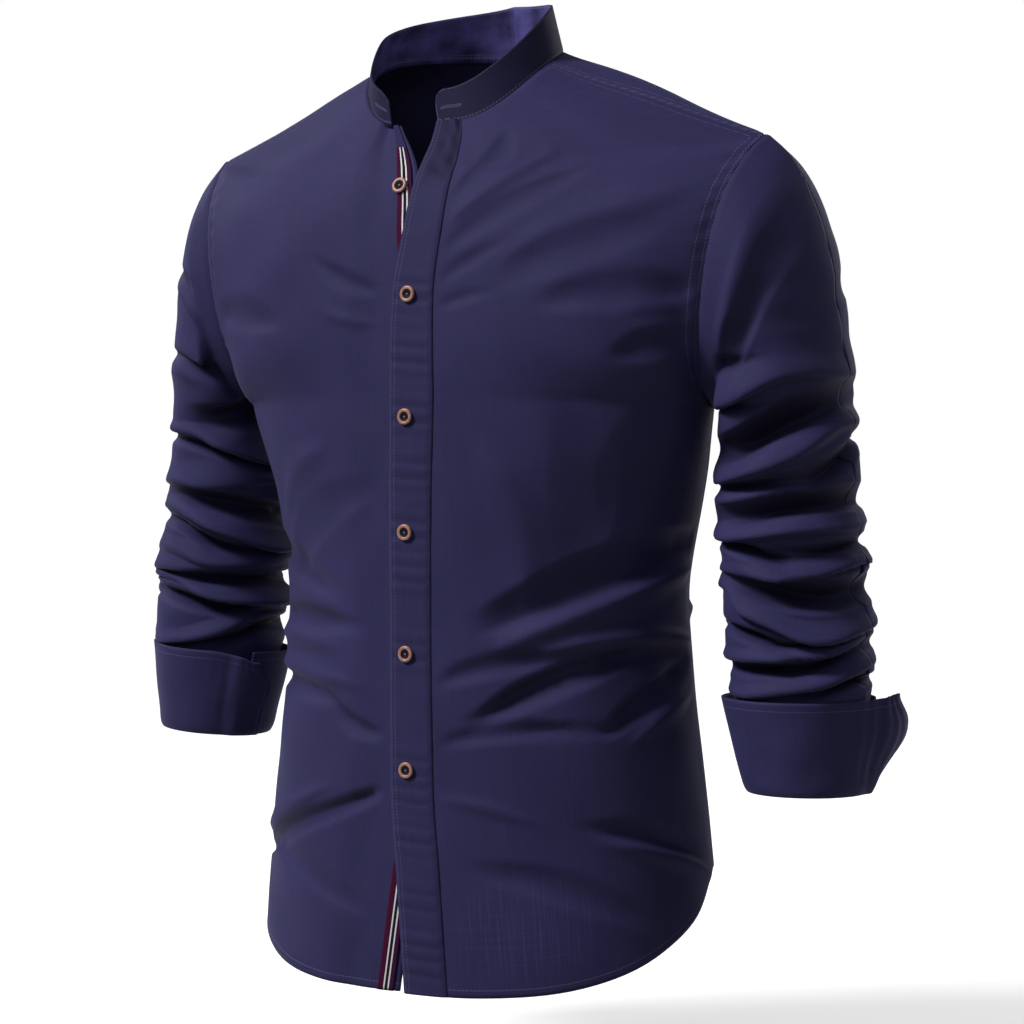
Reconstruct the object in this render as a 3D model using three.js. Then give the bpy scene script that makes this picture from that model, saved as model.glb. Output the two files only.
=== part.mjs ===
// Men's shirt with a standing band collar, held in its worn form with no wearer inside.
// Millimetres, +Z up, the front faces -Y, the wearer's left is +X.
// The origin is the middle of the shoulder line at the base of the neck.
import * as THREE from 'three';

// Sizes
const WALL = 1.6;
const BAND_WALL = 1.8;
const TRIM_WALL = 1.1;
const SEAM_GAP = 0.3;
const EDGE_TRIM = 0.95;
const ARM_GAP = 1.9;
const PANEL_ARC = 240;
const BACK_ARC = 168;
const PLACKET_HALF = 15.5;
const TAPE_HALF = 6.5;
const TAPE_MIDDLE = -3.5;
const COLLAR_REACH = 15;
const UNDERLAP = 3.6;
const BUTTON_RADIUS = 6.2;
const COLLAR_CORNER = 14;
const COLLAR_HALF = 190;
const FRONT_SHARE_OF_NECK = 0.42;
const CUFF_MIDDLE = { x: 261, y: 16 };
const CUFF_CORNER = 10;
const CUFF_STEP = 3.4;
const ARMPIT_V = 0.60;
const SHOULDER_V = 0.89;
const YOKE_V = 0.793;

// Section tables
// Front rows from hem to neck: z0 y0 are the centre front and h0 its handle.
// hx hy hz are the handle at the outer edge.
const FRONT_ROWS = [
  { v: 0.000, z0: -709, y0: -115, h0: 123, hx: -29, hy: 79, hz: 77 },
  { v: 0.120, z0: -620, y0: -118, h0: 120, hx: -28, hy: 76, hz: 45 },
  { v: 0.250, z0: -525, y0: -118, h0: 112, hx: -27, hy: 74, hz: 18 },
  { v: 0.370, z0: -430, y0: -118, h0: 106, hx: -26, hy: 73, hz: 6 },
  { v: 0.500, z0: -335, y0: -120, h0: 112, hx: -27, hy: 75, hz: 0 },
  { v: 0.600, z0: -262, y0: -119, h0: 120, hx: -30, hy: 77, hz: 0 },
  { v: 0.648, z0: -225, y0: -118, h0: 118, hx: 5, hy: 72, hz: -3 },
  { v: 0.697, z0: -190, y0: -116, h0: 112, hx: 38, hy: 56, hz: -5 },
  { v: 0.745, z0: -157, y0: -112, h0: 104, hx: 56, hy: 38, hz: -4 },
  { v: 0.793, z0: -127, y0: -106, h0: 96, hx: 58, hy: 36, hz: 4 },
  { v: 0.842, z0: -102, y0: -99, h0: 88, hx: 56, hy: 40, hz: 10 },
  { v: 0.890, z0: -86, y0: -91, h0: 78, hx: 52, hy: 44, hz: 16 },
  { v: 0.945, z0: -68, y0: -81, h0: 60, hx: 40, hy: 45, hz: 22 },
  { v: 1.000, z0: -53, y0: -73, h0: 42, hx: 4, hy: 28, hz: 15 },
];

// Back rows from hem to neck, the same columns from the centre back.
const BACK_ROWS = [
  { v: 0.000, z0: -722, y0: 126, h0: 87, hx: 20, hy: -56, hz: 22 },
  { v: 0.120, z0: -625, y0: 124, h0: 85, hx: 19, hy: -55, hz: 35 },
  { v: 0.250, z0: -530, y0: 114, h0: 80, hx: 18, hy: -52, hz: 14 },
  { v: 0.370, z0: -435, y0: 108, h0: 76, hx: 18, hy: -50, hz: 5 },
  { v: 0.500, z0: -338, y0: 128, h0: 80, hx: 19, hy: -58, hz: 0 },
  { v: 0.600, z0: -262, y0: 136, h0: 88, hx: 21, hy: -60, hz: 0 },
  { v: 0.648, z0: -222, y0: 139, h0: 92, hx: 38, hy: -58, hz: 3 },
  { v: 0.697, z0: -184, y0: 139, h0: 95, hx: 52, hy: -50, hz: 3 },
  { v: 0.745, z0: -148, y0: 136, h0: 95, hx: 60, hy: -42, hz: 0 },
  { v: 0.793, z0: -114, y0: 129, h0: 92, hx: 60, hy: -36, hz: -8 },
  { v: 0.842, z0: -78, y0: 116, h0: 85, hx: 58, hy: -32, hz: -18 },
  { v: 0.890, z0: -48, y0: 103, h0: 75, hx: 52, hy: -30, hz: -26 },
  { v: 0.945, z0: -18, y0: 88, h0: 58, hx: 50, hy: -45, hz: -50 },
  { v: 1.000, z0: 9, y0: 74, h0: 42, hx: -4, hy: -34, hz: -18 },
];

// The side seam from hem to armpit, shared by the fronts and the back.
const SIDE_SEAM = [
  { v: 0.00, x: 182, y: 30, z: -615 },
  { v: 0.12, x: 175, y: 28, z: -545 },
  { v: 0.25, x: 167, y: 26, z: -475 },
  { v: 0.37, x: 163, y: 26, z: -405 },
  { v: 0.50, x: 175, y: 26, z: -332 },
  { v: 0.60, x: 190, y: 12, z: -268 },
];

// The armhole: angle 0 at the shoulder point, 90 at the front, 180 at the armpit, 270 at the back.
const ARMHOLE = [
  { angle: 0, x: 239, y: -6, z: -68 },
  { angle: 30, x: 234, y: -28, z: -84 },
  { angle: 60, x: 227, y: -52, z: -115 },
  { angle: 90, x: 219, y: -62, z: -161 },
  { angle: 120, x: 210, y: -56, z: -214 },
  { angle: 150, x: 200, y: -33, z: -249 },
  { angle: 180, x: 190, y: 12, z: -268 },
  { angle: 210, x: 197, y: 45, z: -252 },
  { angle: 240, x: 208, y: 66, z: -215 },
  { angle: 270, x: 218, y: 73, z: -163 },
  { angle: 300, x: 228, y: 62, z: -117 },
  { angle: 330, x: 236, y: 32, z: -82 },
  { angle: 360, x: 239, y: -6, z: -68 },
];

// The forward shoulder seam from the shoulder point to the neck.
const SHOULDER_SEAM = [
  { v: 0.890, x: 239, y: -6, z: -68 },
  { v: 0.918, x: 196, y: -12, z: -53 },
  { v: 0.945, x: 156, y: -16, z: -38 },
  { v: 0.972, x: 116, y: -18, z: -23 },
  { v: 1.000, x: 78, y: -18, z: -7 },
];

// How far the centre line of each front leaves the middle of the body.
const OPENING = [
  { z: -709, left: 10, right: -23 },
  { z: -620, left: 5, right: -8 },
  { z: -550, left: 0, right: 0 },
  { z: -300, left: 0, right: 0 },
  { z: -185, left: 0, right: -1 },
  { z: -140, left: 3, right: -8 },
  { z: -102, left: 8, right: -19 },
  { z: -53, left: 13, right: -38 },
];

// The sleeve: outer profile xo zo, inner profile xi zi, cy and ry its middle and half depth.
const SLEEVE_ROWS = [
  { w: 0.00, xo: 239, zo: -68, xi: 190, zi: -268, cy: 2, ry: 64 },
  { w: 0.08, xo: 258, zo: -86, xi: 206, zi: -271, cy: 5, ry: 68 },
  { w: 0.17, xo: 274, zo: -116, xi: 209, zi: -280, cy: 8, ry: 68 },
  { w: 0.27, xo: 287, zo: -160, xi: 207, zi: -291, cy: 11, ry: 65 },
  { w: 0.37, xo: 294, zo: -212, xi: 203, zi: -304, cy: 13, ry: 62 },
  { w: 0.47, xo: 299, zo: -262, xi: 199, zi: -322, cy: 14, ry: 59 },
  { w: 0.57, xo: 303, zo: -312, xi: 198, zi: -348, cy: 15, ry: 56 },
  { w: 0.68, xo: 307, zo: -362, xi: 201, zi: -381, cy: 16, ry: 54 },
  { w: 0.80, xo: 311, zo: -412, xi: 204, zi: -418, cy: 16, ry: 53 },
  { w: 0.90, xo: 312, zo: -452, xi: 207, zi: -452, cy: 16, ry: 52 },
  { w: 0.95, xo: 311, zo: -473, xi: 210, zi: -471, cy: 16, ry: 50 },
  { w: 1.00, xo: 305, zo: -505, xi: 219, zi: -505, cy: 16, ry: 42.6 },
];

// Sleeve folds: w along, angle round it, half its span, slant and bow in w, push out,
// and the width above and below.
const LEFT_SLEEVE_FOLDS = [
  { w: 0.400, angle: 50, half: 130, slant: 0.02, bow: -0.02, push: 5, above: 0.05, below: 0.030 },
  { w: 0.470, angle: 60, half: 110, slant: 0.03, bow: 0.02, push: -10, above: 0.05, below: 0.040 },
  { w: 0.545, angle: 60, half: 140, slant: 0.06, bow: 0.02, push: 6, above: 0.05, below: 0.030 },
  { w: 0.620, angle: 60, half: 120, slant: 0.00, bow: 0.00, push: -8, above: 0.04, below: 0.030 },
  { w: 0.655, angle: 60, half: 150, slant: 0.01, bow: 0.00, push: 5, above: 0.04, below: 0.025 },
  { w: 0.730, angle: 70, half: 120, slant: -0.01, bow: 0.01, push: -8, above: 0.04, below: 0.035 },
  { w: 0.775, angle: 60, half: 140, slant: 0.00, bow: 0.03, push: 5, above: 0.03, below: 0.020 },
  { w: 0.830, angle: 80, half: 130, slant: 0.00, bow: 0.02, push: -7, above: 0.03, below: 0.030 },
  { w: 0.880, angle: 60, half: 150, slant: 0.02, bow: 0.02, push: 5, above: 0.04, below: 0.020 },
  { w: 0.925, angle: 80, half: 120, slant: 0.02, bow: 0.00, push: -6, above: 0.03, below: 0.020 },
  { w: 0.420, angle: 240, half: 100, slant: 0.03, bow: 0.01, push: -7, above: 0.05, below: 0.040 },
  { w: 0.500, angle: 250, half: 110, slant: -0.02, bow: 0.00, push: 5, above: 0.05, below: 0.030 },
  { w: 0.600, angle: 240, half: 100, slant: 0.03, bow: 0.01, push: -7, above: 0.05, below: 0.040 },
  { w: 0.700, angle: 250, half: 110, slant: -0.02, bow: 0.00, push: 5, above: 0.05, below: 0.030 },
  { w: 0.800, angle: 240, half: 100, slant: 0.03, bow: 0.01, push: -6, above: 0.04, below: 0.040 },
];

const RIGHT_SLEEVE_FOLDS = [
  { w: 0.385, angle: 90, half: 150, slant: -0.02, bow: 0.02, push: 5, above: 0.06, below: 0.020 },
  { w: 0.500, angle: 130, half: 70, slant: 0.00, bow: 0.00, push: -11, above: 0.05, below: 0.050 },
  { w: 0.555, angle: 60, half: 110, slant: -0.05, bow: 0.00, push: -7, above: 0.03, below: 0.030 },
  { w: 0.600, angle: 50, half: 120, slant: -0.03, bow: 0.00, push: 6, above: 0.05, below: 0.030 },
  { w: 0.665, angle: 120, half: 90, slant: -0.02, bow: 0.00, push: -10, above: 0.04, below: 0.040 },
  { w: 0.700, angle: 70, half: 130, slant: -0.05, bow: 0.02, push: 6, above: 0.04, below: 0.025 },
  { w: 0.755, angle: 60, half: 80, slant: -0.03, bow: 0.00, push: -7, above: 0.03, below: 0.030 },
  { w: 0.790, angle: 50, half: 130, slant: -0.01, bow: 0.00, push: 6, above: 0.04, below: 0.025 },
  { w: 0.835, angle: 120, half: 90, slant: 0.00, bow: 0.00, push: -8, above: 0.03, below: 0.030 },
  { w: 0.865, angle: 60, half: 140, slant: -0.02, bow: 0.01, push: 6, above: 0.03, below: 0.020 },
  { w: 0.910, angle: 60, half: 120, slant: 0.00, bow: 0.00, push: -8, above: 0.03, below: 0.025 },
  { w: 0.440, angle: 250, half: 100, slant: 0.03, bow: 0.01, push: -7, above: 0.05, below: 0.040 },
  { w: 0.530, angle: 240, half: 110, slant: -0.02, bow: 0.00, push: 5, above: 0.05, below: 0.030 },
  { w: 0.640, angle: 250, half: 100, slant: 0.03, bow: 0.01, push: -7, above: 0.05, below: 0.040 },
  { w: 0.740, angle: 240, half: 110, slant: -0.02, bow: 0.00, push: 5, above: 0.05, below: 0.030 },
];

// Body folds as lines on the spread panel: c across from the centre line, z height, push out, half width.
const LEFT_FRONT_FOLDS = [
  { c1: 55, z1: -433, c2: 225, z2: -372, push: -7, width: 22 },
  { c1: 60, z1: -448, c2: 225, z2: -392, push: 4, width: 18 },
  { c1: 45, z1: -497, c2: 136, z2: -456, push: -6, width: 15 },
  { c1: 130, z1: -456, c2: 225, z2: -464, push: -5, width: 14 },
  { c1: 95, z1: -446, c2: 225, z2: -440, push: 4, width: 15 },
  { c1: 132, z1: -502, c2: 222, z2: -470, push: -5, width: 14 },
  { c1: 115, z1: -585, c2: 232, z2: -612, push: -4, width: 16 },
  { c1: 100, z1: -196, c2: 228, z2: -190, push: -5, width: 16 },
  { c1: 150, z1: -234, c2: 230, z2: -222, push: -5, width: 15 },
];

const RIGHT_FRONT_FOLDS = [
  { c1: 20, z1: -510, c2: 70, z2: -490, push: -4, width: 12 },
  { c1: 65, z1: -490, c2: 200, z2: -484, push: -5, width: 15 },
  { c1: 18, z1: -558, c2: 190, z2: -628, push: -5, width: 15 },
  { c1: 45, z1: -438, c2: 180, z2: -432, push: -5, width: 16 },
  { c1: 60, z1: -410, c2: 215, z2: -372, push: -5, width: 20 },
  { c1: 110, z1: -205, c2: 225, z2: -196, push: -4, width: 16 },
];

const BACK_FOLDS = [
  { c1: 30, z1: -445, c2: 160, z2: -405, push: -6, width: 20 },
  { c1: -20, z1: -470, c2: -160, z2: -420, push: -6, width: 20 },
  { c1: -40, z1: -430, c2: 60, z2: -440, push: 4, width: 18 },
  { c1: 20, z1: -505, c2: 150, z2: -470, push: -5, width: 16 },
  { c1: -60, z1: -520, c2: -160, z2: -480, push: -5, width: 16 },
  { c1: 60, z1: -240, c2: 165, z2: -215, push: -4, width: 16 },
  { c1: -60, z1: -245, c2: -165, z2: -210, push: -4, width: 16 },
];

// The cuff band from its seam inside, down to the turn and up to its free edge.
const CUFF_PROFILE = [
  { p: 0.00, z: -505.6, radius: 43.0 },
  { p: 0.25, z: -540, radius: 42.0 },
  { p: 0.33, z: -547, radius: 43.6 },
  { p: 0.41, z: -541, radius: 46.5 },
  { p: 0.60, z: -522, radius: 49.5 },
  { p: 0.80, z: -500, radius: 53.0 },
  { p: 1.00, z: -477, radius: 56.5 },
];

// The collar's height above its seam: k is 0 at the front ends and 1 at the back.
const COLLAR_HEIGHT = [
  { k: 0.00, height: 24, lean: 2 },
  { k: 0.35, height: 32, lean: 6 },
  { k: 0.70, height: 36, lean: 9 },
  { k: 1.00, height: 40, lean: 8 },
];

// How far each forearm and cuff is moved outwards and up.
const ARM_OUT = { left: 0, right: 4 };
const ARM_RISE = { left: -7, right: 12 };

// How far the outer side of each upper sleeve lies inside the profile above.
const ARM_TUCK = { left: 3, right: 9 };

// The collar and neck lean to the wearer's right.
const NECK_SHIFT = -12;

const BUTTON_HEIGHTS = [-185, -276, -362, -453, -540];
const NECK_BUTTON_HEIGHT = -102;

// Materials
const clothColour = 0x33315a;
const finish = {
  cloth: { color: clothColour, roughness: 0.86, metalness: 0.0 },
  tape: { color: 0x4a1420, roughness: 0.8, metalness: 0.0 },
  button: { color: 0x6d4438, roughness: 0.45, metalness: 0.0 },
};

// Small maths
const lerp = (a, b, t) => a + (b - a) * t;
const clamp = (x, lo, hi) => Math.min(hi, Math.max(lo, x));
const smooth = (x) => {
  const t = clamp(x, 0, 1);
  return t * t * (3 - 2 * t);
};

// Reads one column of a table at a key, with a smooth curve through the rows.
function read(rows, key, column, at) {
  const last = rows.length - 1;
  const x = clamp(at, rows[0][key], rows[last][key]);
  let i = 0;
  while (i < last - 1 && x > rows[i + 1][key]) {
    i += 1;
  }
  const step = rows[i + 1][key] - rows[i][key];
  const t = (x - rows[i][key]) / step;
  const slope = (j) => {
    const lo = Math.max(0, j - 1);
    const hi = Math.min(last, j + 1);
    return (rows[hi][column] - rows[lo][column]) / (rows[hi][key] - rows[lo][key]);
  };
  const a = rows[i][column];
  const b = rows[i + 1][column];
  const ma = slope(i) * step;
  const mb = slope(i + 1) * step;
  const t2 = t * t;
  const t3 = t2 * t;
  return (2 * t3 - 3 * t2 + 1) * a + (t3 - 2 * t2 + t) * ma + (3 * t2 - 2 * t3) * b + (t3 - t2) * mb;
}

const readPoint = (rows, key, at) => new THREE.Vector3(
  read(rows, key, 'x', at), read(rows, key, 'y', at), read(rows, key, 'z', at));

function armhole(angle) {
  return readPoint(ARMHOLE, 'angle', ((angle % 360) + 360) % 360);
}

// The outer edge of a body panel: side seam, armhole, then shoulder seam.
function outerEdge(v, back) {
  if (v <= ARMPIT_V) {
    return readPoint(SIDE_SEAM, 'v', v);
  }
  if (v <= SHOULDER_V) {
    const turn = 180 * (SHOULDER_V - v) / (SHOULDER_V - ARMPIT_V);
    return readPoint(ARMHOLE, 'angle', back ? 360 - turn : turn);
  }
  return readPoint(SHOULDER_SEAM, 'v', v);
}

function bezier(p0, p1, p2, p3, t) {
  const s = 1 - t;
  return new THREE.Vector3()
    .addScaledVector(p0, s * s * s)
    .addScaledVector(p1, 3 * s * s * t)
    .addScaledVector(p2, 3 * s * t * t)
    .addScaledVector(p3, t * t * t);
}

// A point of a body panel. t runs from its centre line (0) to its outer edge (1); below 0 it goes on flat.
function panelPoint(rows, v, t, shift, back) {
  const cell = (column) => read(rows, 'v', column, v);
  const edge = outerEdge(v, back);
  const start = new THREE.Vector3(shift, cell('y0'), cell('z0'));
  const reach = cell('h0') * (1 - shift / edge.x);
  const handle = new THREE.Vector3(shift + reach, cell('y0'), cell('z0'));
  const bend = edge.clone().sub(new THREE.Vector3(cell('hx'), cell('hy'), cell('hz')));
  if (t < 0) {
    return start.add(new THREE.Vector3(t * PANEL_ARC, 0, 0));
  }
  if (t >= 1) {
    const last = bend.clone().sub(edge).normalize();
    return edge.addScaledVector(last, EDGE_TRIM);
  }
  return bezier(start, handle, bend, edge, t);
}

// Folds
function linePush(folds, c, z) {
  let total = 0;
  for (const fold of folds) {
    const dc = fold.c2 - fold.c1;
    const dz = fold.z2 - fold.z1;
    const length = Math.hypot(dc, dz);
    const along = ((c - fold.c1) * dc + (z - fold.z1) * dz) / length;
    const across = ((c - fold.c1) * dz - (z - fold.z1) * dc) / length;
    const off = across / fold.width;
    if (Math.abs(off) < 1) {
      const ends = smooth((along + 18) / 36) * smooth((length + 18 - along) / 36);
      total += fold.push * (1 - off * off) ** 2 * ends;
    }
  }
  return total;
}

function ringPush(folds, w, angle) {
  let total = 0;
  for (const fold of folds) {
    const turn = ((angle - fold.angle + 540) % 360) - 180;
    const k = turn / fold.half;
    if (Math.abs(k) < 1) {
      const middle = fold.w + fold.slant * k + fold.bow * k * k;
      const gap = w - middle;
      const off = gap < 0 ? -gap / fold.above : gap / fold.below;
      if (off < 1) {
        total += fold.push * (1 - off * off) ** 1.5 * smooth((1 - Math.abs(k)) * 2.5);
      }
    }
  }
  return total;
}

// Walls
// Reads a grid past its ends: round again where it is closed, or the last cell where it isn't.
function gridReader(grid, closed) {
  const columns = grid.length;
  const rows = grid[0].length;
  return (i, j) => {
    const column = closed ? (i + columns) % columns : clamp(i, 0, columns - 1);
    return grid[column][clamp(j, 0, rows - 1)];
  };
}

// Turns a grid of points into a closed wall: the points are its outer face.
function wallGeometry(grid, thickness, closed) {
  const columns = grid.length;
  const rows = grid[0].length;
  const at = gridReader(grid, closed);
  const outer = [];
  const inner = [];
  for (let i = 0; i < columns; i += 1) {
    for (let j = 0; j < rows; j += 1) {
      const across = at(i + 1, j).clone().sub(at(i - 1, j));
      const along = at(i, j + 1).clone().sub(at(i, j - 1));
      const normal = across.cross(along).normalize();
      outer.push(grid[i][j]);
      inner.push(grid[i][j].clone().addScaledVector(normal, -thickness));
    }
  }
  const count = outer.length;
  const points = outer.concat(inner);
  const faces = [];
  const quad = (a, b, c, d) => {
    const direct = points[a].distanceTo(points[c]);
    const other = points[b].distanceTo(points[d]);
    if (direct <= other) {
      faces.push(a, b, c, a, c, d);
    } else {
      faces.push(a, b, d, b, c, d);
    }
  };
  const index = (i, j) => (closed ? i % columns : i) * rows + j;
  const lastColumn = closed ? columns : columns - 1;
  for (let i = 0; i < lastColumn; i += 1) {
    for (let j = 0; j < rows - 1; j += 1) {
      const a = index(i, j);
      const b = index(i + 1, j);
      const c = index(i + 1, j + 1);
      const d = index(i, j + 1);
      quad(a, b, c, d);
      quad(d + count, c + count, b + count, a + count);
    }
    const low = index(i, 0);
    const lowNext = index(i + 1, 0);
    quad(low + count, lowNext + count, lowNext, low);
    const high = index(i, rows - 1);
    const highNext = index(i + 1, rows - 1);
    quad(high, highNext, highNext + count, high + count);
  }
  if (!closed) {
    for (let j = 0; j < rows - 1; j += 1) {
      quad(index(0, j), index(0, j + 1), index(0, j + 1) + count, index(0, j) + count);
      const end = columns - 1;
      quad(index(end, j + 1), index(end, j), index(end, j) + count, index(end, j + 1) + count);
    }
  }
  const geometry = new THREE.BufferGeometry();
  const numbers = points.flatMap((p) => p.toArray());
  geometry.setAttribute('position', new THREE.Float32BufferAttribute(numbers, 3));
  geometry.setIndex(faces);
  return geometry;
}

function makeGrid(columns, rows, place) {
  return columns.map((u) => rows.map((v) => place(u, v)));
}

const steps = (from, to, count) => Array.from({ length: count + 1 }, (_, i) => lerp(from, to, i / count));

// Moves a grid along its own normals by an amount for each cell.
function moveOut(grid, amount, closed) {
  const at = gridReader(grid, closed);
  return grid.map((line, i) => line.map((point, j) => {
    const across = at(i + 1, j).clone().sub(at(i - 1, j));
    const along = at(i, j + 1).clone().sub(at(i, j - 1));
    const normal = across.cross(along).normalize();
    return point.clone().addScaledVector(normal, amount(i, j));
  }));
}

// The open neck is drawn over to one side; this moves each piece near it by the same rule.
function neckShift(point) {
  const up = smooth((point.z + 75) / 65);
  const near = 1 - smooth((Math.abs(point.x) - 80) / 90);
  return point.setX(point.x + NECK_SHIFT * up * near);
}

const shiftGrid = (grid) => grid.map((line) => line.map(neckShift));

const mirrorPoint = (p) => new THREE.Vector3(-p.x, p.y, p.z);

const mirrorGrid = (grid) => grid.map((line) => line.map(mirrorPoint)).reverse();

// Parts
const shirt = new THREE.Group();
shirt.name = 'mandarin_collar_shirt';

function addPart(name, geometry, look) {
  const mesh = new THREE.Mesh(geometry, new THREE.MeshStandardMaterial(finish[look]));
  mesh.name = name;
  shirt.add(mesh);
  return mesh;
}

const openingAt = (side, z) => read(OPENING, 'z', side, z);

// The right front narrows beyond its centre line towards the neck, so its edge runs aslant.
function slant(side, c, z) {
  const share = 1 - 0.92 * smooth((z + 132) / 70);
  return side === 'right' && c < 0 ? c * share : c;
}

// The spread of one front, before its folds: cs are distances from its centre line.
function frontGrid(side, cs, vs, lift) {
  const left = side === 'left';
  const folds = left ? LEFT_FRONT_FOLDS : RIGHT_FRONT_FOLDS;
  const base = makeGrid(cs, vs, (c, v) => {
    const z0 = read(FRONT_ROWS, 'v', 'z0', v);
    const shift = openingAt(side, z0) * (left ? 1 : -1);
    return panelPoint(FRONT_ROWS, v, slant(side, c, z0) / PANEL_ARC, shift, false);
  });
  return moveOut(base, (i, j) => {
    const point = base[i][j];
    const under = left ? 0 : UNDERLAP * (1 - smooth((cs[i] - 17) / 26));
    const quiet = smooth((cs[i] - 14) / 30) * smooth((237 - cs[i]) / 16);
    const nearNeck = smooth((0.985 - vs[j]) / 0.05);
    return lift - under + linePush(folds, cs[i], point.z) * quiet * nearNeck;
  }, false);
}

const frontRows = steps(0, ARMPIT_V, 14)
  .concat(steps(ARMPIT_V, SHOULDER_V, 7).slice(1), steps(SHOULDER_V, 1, 4).slice(1));

const leftColumns = [-14.2, 0].concat(steps(16, PANEL_ARC, 13));
const leftGrid = shiftGrid(frontGrid('left', leftColumns, frontRows, 0));
addPart('front_left', wallGeometry(leftGrid, WALL, false), 'cloth');

const rightColumns = [-15, 0].concat(steps(15, PANEL_ARC, 13));
const rightGrid = shiftGrid(mirrorGrid(frontGrid('right', rightColumns, frontRows, 0)));
addPart('front_right', wallGeometry(rightGrid, WALL, false), 'cloth');

// The back and the yoke share one surface, cut at the yoke seam.
function backGrid(cs, vs) {
  const base = makeGrid(cs, vs, (c, v) => {
    const t = Math.abs(c) / BACK_ARC;
    const point = panelPoint(BACK_ROWS, v, t, 0, true);
    return new THREE.Vector3(point.x * Math.sign(c || 1) * (c === 0 ? 0 : 1), point.y, point.z);
  });
  return moveOut(base, (i, j) => {
    const quiet = smooth((BACK_ARC - 3 - Math.abs(cs[i])) / 16);
    const seam = smooth((Math.abs(vs[j] - YOKE_V) - 0.01) / 0.04);
    return linePush(BACK_FOLDS, cs[i], base[i][j].z) * quiet * seam;
  }, false);
}

const backColumns = steps(BACK_ARC, -BACK_ARC, 20);
const backRows = steps(0, ARMPIT_V, 12).concat(steps(ARMPIT_V, YOKE_V - 0.0012, 4).slice(1));
addPart('back', wallGeometry(shiftGrid(backGrid(backColumns, backRows)), WALL, false), 'cloth');

const yokeRows = steps(YOKE_V + 0.0012, SHOULDER_V, 3).concat(steps(SHOULDER_V, 1, 4).slice(1));
addPart('yoke', wallGeometry(shiftGrid(backGrid(backColumns, yokeRows)), WALL, false), 'cloth');

// Sleeves
// Moves the lower arm of one side up and out, as the picture shows it bent a little.
function armShift(side, w) {
  const share = smooth((w - 0.35) / 0.6);
  return new THREE.Vector3(ARM_OUT[side] * share, 0, ARM_RISE[side] * share);
}

function sleevePoint(side, angle, w, push) {
  const cell = (column) => read(SLEEVE_ROWS, 'w', column, w);
  const tuck = ARM_TUCK[side] * smooth(w / 0.2) * (1 - smooth((w - 0.45) / 0.25));
  const turn = angle * Math.PI / 180;
  const outer = new THREE.Vector3(cell('xo') - tuck, cell('cy'), cell('zo'));
  const inner = new THREE.Vector3(cell('xi'), cell('cy'), cell('zi'));
  const middle = outer.clone().add(inner).multiplyScalar(0.5);
  const arm = outer.clone().sub(inner).multiplyScalar(0.5);
  const rx = arm.length();
  arm.normalize();
  const point = middle.clone()
    .addScaledVector(arm, (rx + push) * Math.cos(turn))
    .add(new THREE.Vector3(0, -(cell('ry') + push) * Math.sin(turn), 0));
  if (w < 0.22) {
    const first = SLEEVE_ROWS[0];
    const start = new THREE.Vector3((first.xo + first.xi) / 2, first.cy, (first.zo + first.zi) / 2);
    const half = new THREE.Vector3((first.xo - first.xi) / 2, 0, (first.zo - first.zi) / 2);
    const ring = start.clone().addScaledVector(half, Math.cos(turn));
    ring.add(new THREE.Vector3(0, -first.ry * Math.sin(turn), 0));
    const drift = armhole(angle).sub(ring);
    point.addScaledVector(drift, 1 - smooth(w / 0.22));
    point.x += ARM_GAP * (1 - smooth(w / 0.1));
  }
  return point;
}

function sleeveGrid(folds, side) {
  const angles = steps(0, 360, 22).slice(0, -1).reverse();
  const ws = steps(0, 0.3, 6).concat(steps(0.3, 0.95, 26).slice(1), [1]);
  return makeGrid(angles, ws, (angle, w) => {
    const calm = smooth((w - 0.24) / 0.12) * smooth((0.972 - w) / 0.03);
    return sleevePoint(side, angle, w, ringPush(folds, w, angle) * calm).add(armShift(side, w));
  });
}

const leftSleeve = sleeveGrid(LEFT_SLEEVE_FOLDS, 'left');
addPart('sleeve_left', wallGeometry(leftSleeve, WALL, true), 'cloth');

const rightSleeve = mirrorGrid(sleeveGrid(RIGHT_SLEEVE_FOLDS, 'right'));
addPart('sleeve_right', wallGeometry(rightSleeve, WALL, true), 'cloth');

// Cuffs
// The band is open: it starts under its own flap, goes round one way or the other,
// and the flap stands away.
function cuffGrid(side, start, way, flare) {
  const turns = steps(0, 352, 20).concat([366, 378]).reverse();
  const marks = CUFF_PROFILE.map((row) => row.p);
  const grid = makeGrid(turns, marks, (turn, p) => {
    const along = clamp((turn - 300) / 78, 0, 1);
    const flap = flare * along ** 2 * smooth((p - 0.34) / 0.5);
    const corner = CUFF_CORNER * smooth((turn - 346) / 32) * smooth((p - 0.6) / 0.4);
    const overlap = CUFF_STEP * smooth((turn - 338) / 14);
    const radius = read(CUFF_PROFILE, 'p', 'radius', p) + flap + overlap;
    const z = read(CUFF_PROFILE, 'p', 'z', p) - corner;
    const angle = (start + way * turn) * Math.PI / 180;
    const lean = (z + 505) * -0.1;
    const x = CUFF_MIDDLE.x + lean + radius * 1.02 * Math.cos(angle);
    const point = new THREE.Vector3(x, CUFF_MIDDLE.y - radius * Math.sin(angle), z);
    return point.add(armShift(side, 1));
  });
  const faced = way > 0 ? grid : grid.reverse();
  return side === 'left' ? faced : mirrorGrid(faced);
}

addPart('cuff_left', wallGeometry(cuffGrid('left', 338, -1, 23), BAND_WALL, false), 'cloth');
addPart('cuff_right', wallGeometry(cuffGrid('right', 150, 1, 4), BAND_WALL, false), 'cloth');

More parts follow.
